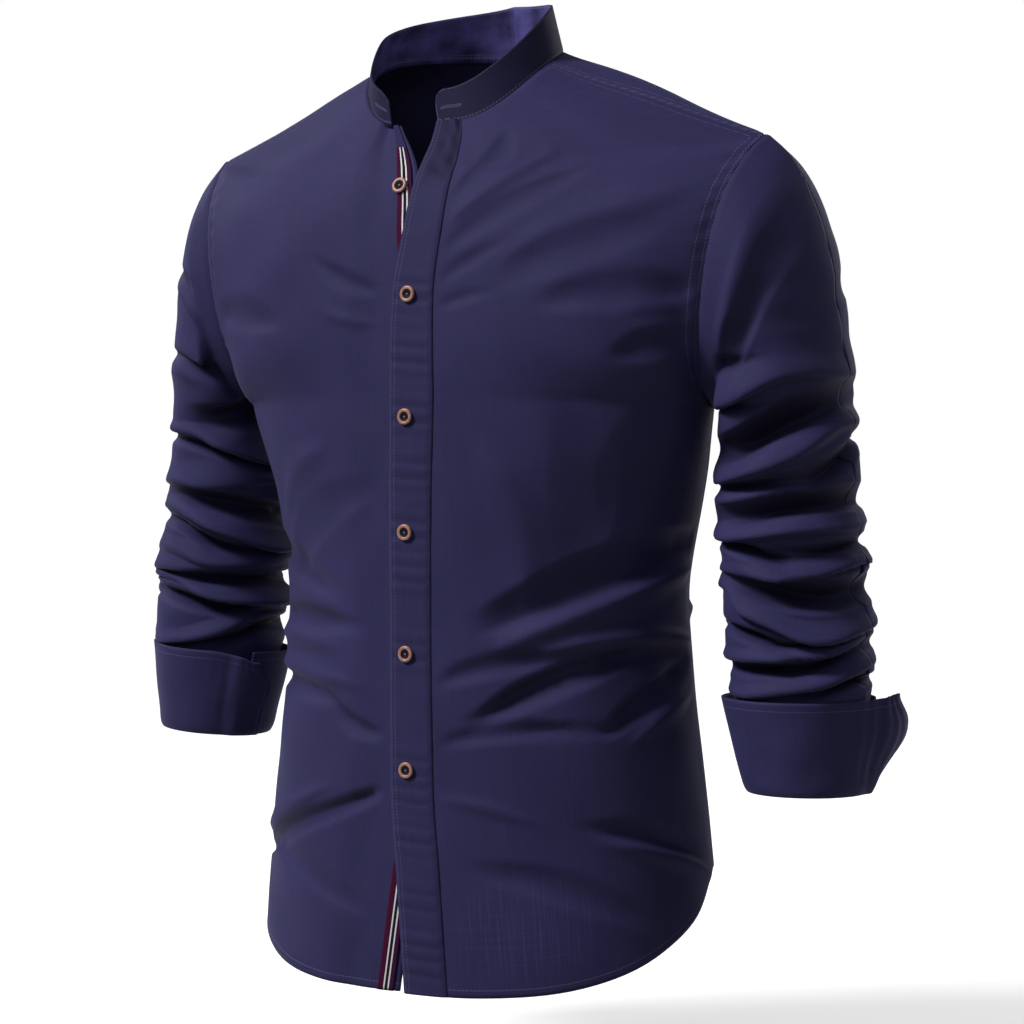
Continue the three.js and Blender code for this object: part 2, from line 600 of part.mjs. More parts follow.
// Collar
// k runs 0 to 1 from the left end to the middle of the back, and on to 2 at the right end.
function neckPoint(k) {
  const right = k > 1;
  const m = right ? 2 - k : k;
  const side = right ? 'right' : 'left';
  const shift = openingAt(side, -53) * (right ? -1 : 1);
  const share = FRONT_SHARE_OF_NECK;
  const point = m < share
    ? panelPoint(FRONT_ROWS, 1, m / share, shift, false)
    : panelPoint(BACK_ROWS, 1, 1 - (m - share) / (1 - share), 0, true);
  point.x *= right ? -1 : 1;
  return { point, m };
}

function collarGrid() {
  const first = -COLLAR_REACH * FRONT_SHARE_OF_NECK / PANEL_ARC;
  const ks = [first, first * 0.6].concat(steps(0.006, 1.994, 28));
  const marks = [0, 0.34, 0.68, 1];
  return makeGrid(ks, marks, (k, h) => {
    const { point, m } = neckPoint(k);
    const height = read(COLLAR_HEIGHT, 'k', 'height', m);
    const lean = read(COLLAR_HEIGHT, 'k', 'lean', m);
    const reach = k > 1 ? 0 : COLLAR_REACH;
    const fromEnd = reach + (m < 0 ? reach * m / -first : m * COLLAR_HALF);
    const cut = fromEnd < COLLAR_CORNER
      ? COLLAR_CORNER - Math.sqrt(COLLAR_CORNER ** 2 - (COLLAR_CORNER - fromEnd) ** 2)
      : 0;
    const inward = new THREE.Vector3(-point.x, -point.y, 0).normalize();
    const droop = k > 1 ? 7 * Math.sin(Math.PI * m) * h : 0;
    const rise = 0.9 + (height - cut) * h - droop;
    return point.clone().addScaledVector(inward, 0.5 + lean * h).add(new THREE.Vector3(0, 0, rise));
  });
}

addPart('collar', wallGeometry(shiftGrid(collarGrid()), BAND_WALL, false), 'cloth');

// Placket, tape and buttons
const placketColumns = [-PLACKET_HALF, -PLACKET_HALF / 3, PLACKET_HALF / 3, PLACKET_HALF];
const placketGrid = frontGrid('left', placketColumns, frontRows, SEAM_GAP + TRIM_WALL);
addPart('placket', wallGeometry(shiftGrid(placketGrid), TRIM_WALL, false), 'cloth');

const tapeColumns = [TAPE_MIDDLE - TAPE_HALF, TAPE_MIDDLE, TAPE_MIDDLE + TAPE_HALF];
const tapeGrid = mirrorGrid(frontGrid('right', tapeColumns, frontRows, SEAM_GAP + TRIM_WALL));
addPart('button_tape', wallGeometry(shiftGrid(tapeGrid), TRIM_WALL, false), 'tape');

function buttonGeometry() {
  const profile = [
    [0.001, 0], [BUTTON_RADIUS - 0.9, 0], [BUTTON_RADIUS, 1.0], [BUTTON_RADIUS - 0.4, 2.3],
    [BUTTON_RADIUS - 2.2, 2.5], [BUTTON_RADIUS - 2.9, 1.6], [0.001, 1.5],
  ];
  const points = [];
  const faces = [];
  const around = 18;
  points.push(new THREE.Vector3(0, 0, 0), new THREE.Vector3(0, 0, 1.5));
  for (let i = 0; i < around; i += 1) {
    const turn = i / around * Math.PI * 2;
    for (let j = 1; j < profile.length - 1; j += 1) {
      const [radius, height] = profile[j];
      points.push(new THREE.Vector3(radius * Math.cos(turn), radius * Math.sin(turn), height));
    }
  }
  const rings = profile.length - 2;
  const index = (i, j) => 2 + (i % around) * rings + j;
  for (let i = 0; i < around; i += 1) {
    faces.push(0, index(i + 1, 0), index(i, 0));
    faces.push(1, index(i, rings - 1), index(i + 1, rings - 1));
    for (let j = 0; j < rings - 1; j += 1) {
      faces.push(index(i, j), index(i + 1, j), index(i + 1, j + 1));
      faces.push(index(i, j), index(i + 1, j + 1), index(i, j + 1));
    }
  }
  const geometry = new THREE.BufferGeometry();
  const numbers = points.flatMap((p) => p.toArray());
  geometry.setAttribute('position', new THREE.Float32BufferAttribute(numbers, 3));
  geometry.setIndex(faces);
  return geometry;
}

// Finds where a front's centre line is at a height, and seats a button on it.
function seatButton(name, side, z, lift) {
  let low = 0;
  let high = 1;
  for (let i = 0; i < 40; i += 1) {
    const middle = (low + high) / 2;
    if (read(FRONT_ROWS, 'v', 'z0', middle) < z) {
      low = middle;
    } else {
      high = middle;
    }
  }
  const v = (low + high) / 2;
  const grid = frontGrid(side, [-6, 0, 6], [v - 0.01, v, v + 0.01], lift);
  const point = grid[1][1];
  const across = grid[2][1].clone().sub(grid[0][1]);
  const along = grid[1][2].clone().sub(grid[1][0]);
  const normal = across.cross(along).normalize();
  if (side === 'right') {
    point.x *= -1;
    normal.x *= -1;
  }
  const mesh = addPart(name, buttonGeometry(), 'button');
  mesh.position.copy(point);
  mesh.quaternion.setFromUnitVectors(new THREE.Vector3(0, 0, 1), normal);
}

const onPlacket = 2 * SEAM_GAP + TRIM_WALL + 0.15;
seatButton('button_neck', 'right', NECK_BUTTON_HEIGHT, onPlacket);
BUTTON_HEIGHTS.forEach((z, i) => seatButton(`button_${i + 1}`, 'left', z, onPlacket));

export default shirt;
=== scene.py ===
"""Navy shirt with a standing band collar, dressed over its frame: cloth, sewing, tape and buttons."""

import logging
import math
from dataclasses import dataclass, field
from enum import Enum
from typing import Sequence

import bmesh
import bpy
import numpy as np
from mathutils import Matrix, Vector


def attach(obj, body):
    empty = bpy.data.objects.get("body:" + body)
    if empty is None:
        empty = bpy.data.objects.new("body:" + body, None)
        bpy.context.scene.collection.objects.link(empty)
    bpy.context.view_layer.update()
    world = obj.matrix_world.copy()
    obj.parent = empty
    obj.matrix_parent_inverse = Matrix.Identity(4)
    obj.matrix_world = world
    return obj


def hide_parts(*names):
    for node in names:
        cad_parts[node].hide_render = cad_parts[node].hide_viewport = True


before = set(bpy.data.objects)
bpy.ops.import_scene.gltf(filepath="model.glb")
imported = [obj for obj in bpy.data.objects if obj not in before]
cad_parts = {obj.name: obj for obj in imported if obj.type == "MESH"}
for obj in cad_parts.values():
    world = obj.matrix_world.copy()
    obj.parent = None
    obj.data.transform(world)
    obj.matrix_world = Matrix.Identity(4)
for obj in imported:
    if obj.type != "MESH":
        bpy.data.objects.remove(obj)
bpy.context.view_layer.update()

log = logging.getLogger("shirt")
MM = 0.001


class Side(Enum):
    """The wearer's left, on the viewer's right, or the wearer's right."""

    LEFT = 1
    RIGHT = -1


# Sizes and tables, in millimetres.


@dataclass(frozen=True)
class Table:
    """Rows of named numbers, read along the first column with a smooth curve through them.

    Args:
        columns: the names of the columns, parted by spaces.
        rows: one sequence of numbers for each row.
    """

    columns: str
    rows: Sequence[Sequence[float]]

    def column(self, name: str) -> np.ndarray:
        """Takes out one column.

        Args:
            name: the column.

        Returns:
            Its numbers.
        """
        return np.array([row[self.columns.split().index(name)] for row in self.rows], float)

    def read(self, name: str, at: np.ndarray) -> np.ndarray:
        """Reads a column between its rows.

        Args:
            name: the column.
            at: the places along the first column.

        Returns:
            The values there.
        """
        return curve_through(self.column(self.columns.split()[0]), self.column(name), at)

    def point(self, at: np.ndarray) -> np.ndarray:
        """Reads the columns x, y and z between their rows.

        Args:
            at: the places along the first column.

        Returns:
            The points there, in millimetres.
        """
        return np.stack([self.read(name, at) for name in "xyz"], axis=-1)


def curve_through(keys: np.ndarray, values: np.ndarray, at: np.ndarray) -> np.ndarray:
    """A smooth curve through values at keys.

    Args:
        keys: where the values stand, rising.
        values: the values.
        at: where to read.

    Returns:
        The values read.
    """
    x = np.clip(np.asarray(at, float), keys[0], keys[-1])
    i = np.clip(np.searchsorted(keys, x, side="left") - 1, 0, len(keys) - 2)
    slopes = np.zeros(len(values))
    slopes[1:-1] = (values[2:] - values[:-2]) / (keys[2:] - keys[:-2])
    slopes[0] = (values[1] - values[0]) / (keys[1] - keys[0])
    slopes[-1] = (values[-1] - values[-2]) / (keys[-1] - keys[-2])
    step = keys[i + 1] - keys[i]
    t = (x - keys[i]) / step
    t2, t3 = t * t, t * t * t
    return (
        (2 * t3 - 3 * t2 + 1) * values[i]
        + (t3 - 2 * t2 + t) * slopes[i] * step
        + (3 * t2 - 2 * t3) * values[i + 1]
        + (t3 - t2) * slopes[i + 1] * step
    )


def smooth(x: np.ndarray) -> np.ndarray:
    """A soft step.

    Args:
        x: where to read it; it rises from 0 to 1.

    Returns:
        The step's height, from 0 to 1.
    """
    t = np.clip(x, 0, 1)
    return t * t * (3 - 2 * t)


WALL, BAND_WALL, TRIM_WALL = 1.6, 1.8, 1.1
SEAM_GAP, EDGE_LAP, ARM_GAP = 0.3, 0.5, 0.6
PANEL_ARC, BACK_ARC = 240.0, 168.0
PLACKET_HALF, TAPE_HALF, UNDERLAP = 15.5, 6.5, 3.6
TAPE_MIDDLE, COLLAR_REACH, TURNED_EDGE = -3.5, 15.0, 15.0
ARMPIT_V, SHOULDER_V, YOKE_V = 0.60, 0.89, 0.793
NECK_SHIFT = -12.0
RIDGE_RISE, TROUGH_DEPTH = 1.2, 1.5
COLLAR_CORNER = 14.0
ARM_OUT = {Side.LEFT: 0.0, Side.RIGHT: 4.0}
ARM_RISE = {Side.LEFT: -7.0, Side.RIGHT: 12.0}
ARM_TUCK = {Side.LEFT: 3.0, Side.RIGHT: 9.0}
CUFF_CORNER, CUFF_STEP = 14.0, 3.4
CUFF_TURN, CUFF_FREE, CUFF_CLOTH = 378.0, 300.0, 110.0
BUTTON_HEIGHTS = (-185.0, -276.0, -362.0, -453.0, -540.0)
NECK_BUTTON_HEIGHT = -102.0

FRONT_ROWS = Table(
    "v z0 y0 h0 hx hy hz",
    (
        (0.000, -709, -115, 123, -29, 79, 77),
        (0.120, -620, -118, 120, -28, 76, 45),
        (0.250, -525, -118, 112, -27, 74, 18),
        (0.370, -430, -118, 106, -26, 73, 6),
        (0.500, -335, -120, 112, -27, 75, 0),
        (0.600, -262, -119, 120, -30, 77, 0),
        (0.648, -225, -118, 118, 5, 72, -3),
        (0.697, -190, -116, 112, 38, 56, -5),
        (0.745, -157, -112, 104, 56, 38, -4),
        (0.793, -127, -106, 96, 58, 36, 4),
        (0.842, -102, -99, 88, 56, 40, 10),
        (0.890, -86, -91, 78, 52, 44, 16),
        (0.945, -68, -81, 60, 40, 45, 22),
        (1.000, -53, -73, 42, 4, 28, 15),
    ),
)
BACK_ROWS = Table(
    "v z0 y0 h0 hx hy hz",
    (
        (0.000, -722, 126, 87, 20, -56, 22),
        (0.120, -625, 124, 85, 19, -55, 35),
        (0.250, -530, 114, 80, 18, -52, 14),
        (0.370, -435, 108, 76, 18, -50, 5),
        (0.500, -338, 128, 80, 19, -58, 0),
        (0.600, -262, 136, 88, 21, -60, 0),
        (0.648, -222, 139, 92, 38, -58, 3),
        (0.697, -184, 139, 95, 52, -50, 3),
        (0.745, -148, 136, 95, 60, -42, 0),
        (0.793, -114, 129, 92, 60, -36, -8),
        (0.842, -78, 116, 85, 58, -32, -18),
        (0.890, -48, 103, 75, 52, -30, -26),
        (0.945, -18, 88, 58, 50, -45, -50),
        (1.000, 9, 74, 42, -4, -34, -18),
    ),
)
SIDE_SEAM = Table(
    "v x y z",
    (
        (0.00, 182, 30, -615),
        (0.12, 175, 28, -545),
        (0.25, 167, 26, -475),
        (0.37, 163, 26, -405),
        (0.50, 175, 26, -332),
        (0.60, 190, 12, -268),
    ),
)
ARMHOLE = Table(
    "angle x y z",
    (
        (0, 239, -6, -68),
        (30, 234, -28, -84),
        (60, 227, -52, -115),
        (90, 219, -62, -161),
        (120, 210, -56, -214),
        (150, 200, -33, -249),
        (180, 190, 12, -268),
        (210, 197, 45, -252),
        (240, 208, 66, -215),
        (270, 218, 73, -163),
        (300, 228, 62, -117),
        (330, 236, 32, -82),
        (360, 239, -6, -68),
    ),
)
SHOULDER_SEAM = Table(
    "v x y z",
    (
        (0.890, 239, -6, -68),
        (0.918, 196, -12, -53),
        (0.945, 156, -16, -38),
        (0.972, 116, -18, -23),
        (1.000, 78, -18, -7),
    ),
)
OPENING = Table(
    "z left right",
    (
        (-709, 10, -27),
        (-620, 5, -11.5),
        (-550, 0, 0),
        (-300, 0, 0),
        (-185, 0, -5),
        (-140, 5, -13),
        (-102, 9, -19),
        (-53, 17, -38),
    ),
)
SLEEVE_ROWS = Table(
    "w xo zo xi zi cy ry",
    (
        (0.00, 239, -68, 190, -268, 2, 64),
        (0.08, 258, -86, 206, -271, 5, 68),
        (0.17, 274, -116, 209, -280, 8, 68),
        (0.27, 287, -160, 207, -291, 11, 65),
        (0.37, 294, -212, 203, -304, 13, 62),
        (0.47, 299, -262, 199, -322, 14, 59),
        (0.57, 303, -312, 198, -348, 15, 56),
        (0.68, 307, -362, 201, -381, 16, 54),
        (0.80, 311, -412, 204, -418, 16, 53),
        (0.90, 312, -452, 207, -452, 16, 52),
        (0.95, 311, -473, 210, -471, 16, 50),
        (1.00, 305, -505, 219, -505, 16, 42.6),
    ),
)
CUFF_PROFILE = Table(
    "p z radius",
    (
        (0.00, -505.6, 43.0),
        (0.25, -540, 42.0),
        (0.33, -547, 43.6),
        (0.41, -541, 46.5),
        (0.60, -522, 49.5),
        (0.80, -500, 53.0),
        (1.00, -477, 56.5),
    ),
)
COLLAR_HEIGHT = Table(
    "k height lean",
    ((0.00, 24, 2), (0.35, 32, 6), (0.70, 36, 9), (1.00, 40, 8)),
)

# Creases of a body panel: a line from c1 z1 to c2 z2 on the spread cloth, bowed by bow, pushed
# out by push (in where it is below 0), with a half width above and below the line.
CREASES = "c1 z1 c2 z2 bow push above below"
LEFT_FRONT_CREASES = Table(
    CREASES,
    (
        (52, -432, 225, -372, 6, -8, 30, 13),
        (58, -446, 228, -386, 6, 5, 12, 22),
        (20, -474, 98, -456, 5, -4, 12, 9),
        (44, -499, 150, -452, 8, -8, 9, 17),
        (130, -452, 226, -458, 3, -5, 9, 14),
        (90, -448, 232, -446, 8, 5, 13, 11),
        (18, -520, 100, -506, 4, -3, 9, 8),
        (60, -512, 140, -508, 2, -2, 8, 8),
        (130, -505, 216, -463, 6, -7, 8, 17),
        (150, -516, 224, -482, 4, 3, 10, 14),
        (112, -580, 205, -604, 4, -5, 12, 10),
        (120, -592, 225, -622, 4, 3, 10, 12),
        (40, -612, 150, -652, 5, -3, 16, 14),
        (98, -192, 232, -186, 4, -4, 18, 15),
        (150, -231, 232, -218, 3, -4, 10, 15),
        (172, -204, 230, -208, 3, -2, 8, 8),
        (70, -156, 205, -112, 6, 2, 22, 20),
        (64, -176, 190, -140, 6, -2, 22, 18),
        (18, -116, 74, -66, 4, -2, 9, 10),
        (18, -134, 96, -78, 4, 2, 10, 10),
        (18, -152, 112, -98, 4, -2, 11, 11),
        (18, -176, 60, -150, 2, -2, 8, 7),
        (16, -196, 54, -184, 2, -2, 6, 6),
        (46, -300, 74, -420, 10, 3, 22, 24),
        (92, -270, 106, -390, 10, -2, 26, 24),
        (160, -262, 140, -360, 6, -2, 30, 30),
        (18, -560, 74, -575, 2, 2, 8, 8),
    ),
)
RIGHT_FRONT_CREASES = Table(
    CREASES,
    (
        (18, -516, 62, -490, -5, -6, 7, 10),
        (62, -490, 186, -482, 4, -6, 8, 14),
        (40, -480, 170, -470, 4, 3, 12, 9),
        (16, -556, 176, -622, -4, -6, 8, 13),
        (60, -560, 196, -612, -4, 3, 14, 9),
        (44, -434, 150, -430, 3, -6, 10, 15),
        (60, -452, 170, -446, 3, 3, 12, 12),
        (30, -330, 110, -395, 8, -3, 22, 18),
        (60, -300, 120, -350, 6, 3, 20, 20),
        (16, -182, 70, -158, -3, -3, 8, 9),
        (20, -206, 60, -196, -2, 2, 7, 7),
        (110, -205, 225, -196, 3, -4, 16, 14),
        (60, -410, 215, -372, 5, -5, 20, 14),
        (20, -650, 120, -610, 4, -3, 14, 12),
    ),
)
BACK_CREASES = Table(
    CREASES,
    (
        (30, -445, 160, -405, 6, -8, 26, 14),
        (26, -462, 160, -420, 6, 4, 12, 18),
        (-20, -470, -160, -420, -6, -8, 26, 14),
        (-24, -488, -158, -436, -6, 4, 12, 18),
        (-50, -430, 60, -440, 5, 4, 16, 14),
        (-44, -414, 64, -422, 5, -4, 14, 12),
        (20, -505, 150, -470, 5, -6, 10, 15),
        (-60, -520, -160, -480, -5, -6, 10, 15),
        (-30, -545, 60, -530, 4, -3, 14, 12),
        (60, -240, 165, -215, 5, -5, 17, 14),
        (-60, -245, -165, -210, -5, -5, 17, 14),
        (70, -300, 100, -400, 6, -3, 22, 20),
        (-60, -300, -100, -390, -6, -3, 22, 20),
        (0, -300, 10, -420, 4, 3, 26, 26),
        (50, -600, 140, -575, 4, -3, 14, 12),
        (-40, -640, -140, -590, -4, -3, 14, 12),
    ),
)

# Folds round a sleeve: five heights and five pushes at stations 45 degrees apart from start,
# with a half width above and below.
FOLDS = "start z1 z2 z3 z4 z5 p1 p2 p3 p4 p5 above below"
LEFT_SLEEVE_FOLDS = Table(
    FOLDS,
    (
        (10, -92, -133, -198, -230, -240, 0, 3, 4, 3, 0, 18, 26),
        (10, -120, -165, -226, -244, -250, 0, -2, -3, -2, 0, 22, 18),
        (-30, -175, -190, -205, -215, -220, -2, -2, 0, 0, 0, 12, 14),
        (-30, -238, -236, -236, -240, -243, 0, 0, 0, -4, -4, 9, 9),
        (-30, -245, -243, -243, -258, -262, 2, 5, 7, 7, 3, 24, 8),
        (-30, -262, -262, -263, -267, -266, 0, 0, 0, -3, -5, 6, 7),
        (-30, -258, -264, -277, -299, -308, -1, -8, -15, -13, -2, 17, 16),
        (-30, -277, -279, -300, -313, -316, 2, 5, 7, 6, 2, 12, 12),
        (-30, -321, -321, -322, -327, -330, 0, 0, -3, -9, -3, 7, 7),
        (-30, -286, -308, -325, -330, -330, -3, -9, -2, 0, 0, 12, 10),
        (-30, -338, -338, -342, -351, -352, -2, -8, -11, -7, -1, 15, 9),
        (-30, -352, -354, -354, -358, -360, 1, 3, 5, 5, 2, 6, 9),
        (-30, -384, -384, -384, -373, -366, 0, 0, -1, -10, -3, 7, 8),
        (-30, -366, -371, -376, -376, -376, -2, -10, -4, 0, 0, 8, 7),
        (-30, -379, -380, -388, -390, -388, 2, 5, 6, 5, 2, 6, 4),
        (-30, -396, -405, -406, -400, -396, -1, -12, -15, -9, -1, 14, 14),
        (-30, -423, -428, -432, -415, -398, 2, 5, 7, 6, 3, 8, 6),
        (-30, -446, -446, -446, -436, -428, 0, 0, -1, -9, -3, 6, 7),
        (-30, -428, -434, -440, -445, -445, 0, -4, -5, 0, 0, 4, 5),
        (-30, -427, -436, -446, -449, -450, 1, 4, 6, 5, 2, 5, 5),
        (-30, -440, -447, -458, -459, -459, -1, -5, -11, -9, -2, 7, 8),
        (-30, -452, -457, -469, -475, -477, 1, 4, 5, 4, 2, 6, 5),
        (-30, -468, -470, -479, -482, -482, -2, -8, -3, 0, 0, 6, 6),
        (160, -250, -262, -268, -262, -256, 0, 4, 5, 4, 0, 18, 12),
        (160, -290, -285, -281, -284, -290, 0, -8, -9, -7, 0, 16, 16),
        (160, -318, -312, -305, -304, -300, 0, 5, 5, 5, 0, 12, 8),
        (160, -340, -332, -326, -330, -334, 0, -8, -10, -7, 0, 14, 12),
        (160, -362, -354, -350, -350, -352, 0, 5, 5, 5, 0, 10, 6),
        (160, -384, -374, -368, -370, -372, 0, -8, -10, -8, 0, 12, 12),
        (160, -392, -394, -390, -388, -386, 0, 5, 5, 5, 0, 9, 6),
        (160, -406, -412, -408, -406, -405, 0, -8, -10, -8, 0, 12, 11),
        (160, -424, -430, -428, -424, -422, 0, 5, 5, 5, 0, 9, 5),
        (160, -446, -448, -444, -440, -440, 0, -7, -9, -6, 0, 10, 9),
        (160, -470, -466, -462, -458, -456, 0, 4, 4, 4, 0, 8, 6),
    ),
)
RIGHT_SLEEVE_FOLDS = Table(
    FOLDS,
    (
        (30, -152, -170, -202, -222, -230, -1, -3, -3, -1, 0, 6, 10),
        (30, -160, -182, -212, -226, -232, 1, 2, 3, 2, 0, 10, 6),
        (30, -219, -219, -226, -230, -232, 0, 4, 8, 8, 6, 26, 5),
        (30, -226, -227, -237, -244, -246, 0, -3, -8, -9, -8, 6, 13),
        (30, -232, -236, -250, -255, -258, 4, 4, 2, 0, 0, 8, 34),
        (30, -280, -281, -281, -278, -277, 0, 0, -9, -16, -15, 17, 12),
        (30, -283, -286, -294, -303, -302, 2, 4, 6, 7, 5, 7, 5),
        (30, -289, -293, -304, -317, -318, -2, -5, -9, -6, 0, 5, 9),
        (30, -325, -327, -328, -326, -328, 3, 4, 3, 2, 1, 18, 8),
        (30, -337, -339, -348, -356, -358, 0, -7, -12, -17, -15, 13, 12),
        (30, -346, -350, -363, -377, -376, 2, 4, 6, 7, 5, 9, 5),
        (30, -355, -362, -380, -386, -388, -1, -6, -9, -3, 0, 5, 9),
        (30, -378, -381, -392, -392, -388, 1, 4, 4, 3, 2, 8, 8),
        (30, -396, -396, -400, -400, -400, 4, 3, 1, 0, 0, 13, 6),
        (30, -402, -405, -408, -410, -410, 0, -4, -10, -14, -11, 9, 8),
        (30, -401, -408, -419, -422, -420, 3, 4, 6, 6, 4, 6, 4),
        (30, -414, -420, -429, -432, -433, -2, -8, -10, -5, 0, 6, 10),
        (30, -458, -457, -447, -430, -426, 1, 3, 5, 4, 3, 8, 8),
        (30, -466, -464, -460, -448, -446, 0, -2, -5, -11, -8, 8, 9),
        (220, -240, -244, -238, -230, -222, 0, 4, 5, 4, 0, 18, 12),
        (220, -268, -268, -262, -262, -264, 0, -8, -9, -7, 0, 14, 14),
        (220, -300, -296, -288, -284, -282, 0, 5, 5, 5, 0, 12, 8),
        (220, -330, -318, -308, -306, -300, 0, -8, -10, -7, 0, 14, 12),
        (220, -346, -338, -330, -328, -326, 0, 5, 5, 5, 0, 10, 6),
        (220, -362, -360, -352, -350, -354, 0, -8, -10, -8, 0, 12, 12),
        (220, -378, -382, -378, -376, -384, 0, 5, 5, 5, 0, 9, 6),
        (220, -398, -400, -396, -400, -402, 0, -8, -10, -8, 0, 12, 10),
        (220, -420, -418, -418, -420, -414, 0, 5, 5, 5, 0, 9, 5),
        (220, -436, -436, -434, -432, -426, 0, -7, -9, -6, 0, 9, 8),
        (220, -452, -452, -450, -450, -452, 0, 4, 4, 4, 0, 8, 6),
    ),
)


# Surfaces.


def bulge(off: np.ndarray, crest: np.ndarray) -> np.ndarray:
    """The shape across a fold: a ridge has a narrow crest and a trough a round bed.

    Args:
        off: 0 on the fold's line and 1 where it ends.
        crest: where it is a ridge.

    Returns:
        The share of its push at each point.
    """
    narrow = np.clip((1.03 - np.sqrt(off * off + 0.06)) / 0.785, 0, 1) ** 1.6
    return np.where(crest, narrow, np.clip(1 - off * off, 0, 1) ** 1.3)


def crease_push(table: Table, c: np.ndarray, z: np.ndarray) -> np.ndarray:
    """Adds up the creases of a body panel.

    Args:
        table: the creases.
        c: how far each point is across the spread panel.
        z: its height.

    Returns:
        How far each point moves out.
    """
    total = np.zeros_like(z)
    for c1, z1, c2, z2, bow, push, above, below in table.rows:
        dc, dz = c2 - c1, z2 - z1
        length = math.hypot(dc, dz)
        sign = 1.0 if dc >= 0 else -1.0
        along = ((c - c1) * dc + (z - z1) * dz) / length
        share = np.clip(along / length, 0, 1)
        across = sign * ((z - z1) * dc - (c - c1) * dz) / length - bow * 4 * share * (1 - share)
        spindle = 0.55 + 0.45 * np.sin(math.pi * share)
        off = np.where(across > 0, across / (above * spindle), -across / (below * spindle))
        ends = smooth((along + 16) / 40) * smooth((length + 16 - along) / 40)
        total += push * bulge(off, push > 0) * ends * (along > -16) * (along < length + 16)
    return total


def fold_push(table: Table, angle: np.ndarray, z: np.ndarray) -> np.ndarray:
    """Adds up the folds round a sleeve.

    Args:
        table: the folds.
        angle: each point's angle round the sleeve, in degrees.
        z: its height.

    Returns:
        How far each point moves out.
    """
    total = np.zeros_like(z)
    stations = np.arange(5) * 45.0
    for row in table.rows:
        start, heights, pushes, above, below = row[0], row[1:6], row[6:11], row[11], row[12]
        turn = (angle - start + 90) % 360 - 90
        middle = curve_through(stations, np.array(heights, float), turn)
        push = curve_through(stations, np.array(pushes, float), turn)
        ends = smooth((turn + 34) / 34) * smooth((214 - turn) / 34)
        gap = z - middle
        off = np.where(gap > 0, gap / above, -gap / below)
        depth = np.where(push > 0, RIDGE_RISE, TROUGH_DEPTH)
        total += push * depth * bulge(off, push > 0) * ends
    return total


def fold_shade(push: np.ndarray, z: np.ndarray, bed: float, slope: float) -> np.ndarray:
    """How much painted shade each point gets in the folds, where they would lie in shade.

    Args:
        push: how far each point of the grid is pushed out.
        z: its height.
        bed: the depth of a full trough, in millimetres.
        slope: the steepness of a full overhang.

    Returns:
        A share from 0 to 1 of painted shade: beds of troughs and the undersides of ridges.
    """
    rise = np.gradient(push, axis=1) / np.maximum(np.gradient(z, axis=1), 0.2)
    return np.clip(0.55 * smooth(-push / bed) + 0.6 * smooth(rise / slope), 0, 1)


def ripple(a: np.ndarray, b: np.ndarray, seed: int, wave: float, amount: float) -> np.ndarray:
    """A soft unevenness made of a few long waves.

    Args:
        a: one coordinate.
        b: the other.
        seed: fixes the waves.
        wave: their mean length.
        amount: their height.

    Returns:
        The unevenness at each point.
    """
    rng = np.random.default_rng(seed)
    total = np.zeros_like(a)
    for _ in range(7):
        turn, size = rng.uniform(0, math.tau), wave * rng.uniform(0.6, 1.7)
        phase = rng.uniform(0, math.tau)
        total += np.sin((a * math.cos(turn) + b * math.sin(turn)) * math.tau / size + phase)
    return total * amount / 3.0


def outer_edge(v: np.ndarray, back: bool) -> np.ndarray:
    """The outer edge of a body panel: side seam, armhole, then shoulder seam.

    Args:
        v: 0 at the hem and 1 at the neck.
        back: whether the panel is the back.

    Returns:
        The points, in millimetres.
    """
    turn = 180 * (SHOULDER_V - v) / (SHOULDER_V - ARMPIT_V)
    side = SIDE_SEAM.point(v)
    arm = ARMHOLE.point(360 - turn if back else turn)
    top = SHOULDER_SEAM.point(v)
    low, mid = (v <= ARMPIT_V)[..., None], (v <= SHOULDER_V)[..., None]
    return np.where(low, side, np.where(mid, arm, top))


def panel_points(rows: Table, v: np.ndarray, t: np.ndarray, shift: np.ndarray, back: bool) -> np.ndarray:
    """Points of a body panel.

    Args:
        rows: its rows.
        v: 0 at the hem and 1 at the neck.
        t: 0 at the centre line and 1 at the outer edge; below 0 it goes on flat.
        shift: how far the centre line has moved out.
        back: whether it is the back.

    Returns:
        The points, in millimetres.
    """
    edge = outer_edge(v, back)
    y0, z0 = rows.read("y0", v), rows.read("z0", v)
    start = np.stack([shift, y0, z0], axis=-1)
    reach = rows.read("h0", v) * (1 - shift / edge[..., 0])
    handle = np.stack([shift + reach, y0, z0], axis=-1)
    bend = edge - np.stack([rows.read(name, v) for name in ("hx", "hy", "hz")], axis=-1)
    k = np.clip(t, 0, 1)[..., None]
    points = start * (1 - k) ** 3 + 3 * handle * (1 - k) ** 2 * k + 3 * bend * (1 - k) * k * k + edge * k**3
    points[..., 0] += np.where(t < 0, t * PANEL_ARC, 0)
    inward = bend - edge
    inward /= np.linalg.norm(inward, axis=-1, keepdims=True)
    return points - np.where((t >= 1)[..., None], inward * EDGE_LAP, 0)


def normals_of(points: np.ndarray) -> np.ndarray:
    """The outward normals of a grid.

    Args:
        points: the grid of points.

    Returns:
        A unit vector at each point.
    """
    normal = np.cross(np.gradient(points, axis=0), np.gradient(points, axis=1))
    return normal / (np.linalg.norm(normal, axis=-1, keepdims=True) + 1e-9)


def neck_shift(points: np.ndarray) -> np.ndarray:
    """Draws the points near the neck over to the wearer's right.

    Args:
        points: the points, in millimetres.

    Returns:
        The points moved.
    """
    moved = points.copy()
    near = 1 - smooth((np.abs(points[..., 0]) - 80) / 90)
    moved[..., 0] += NECK_SHIFT * smooth((points[..., 2] + 75) / 65) * near
    return moved


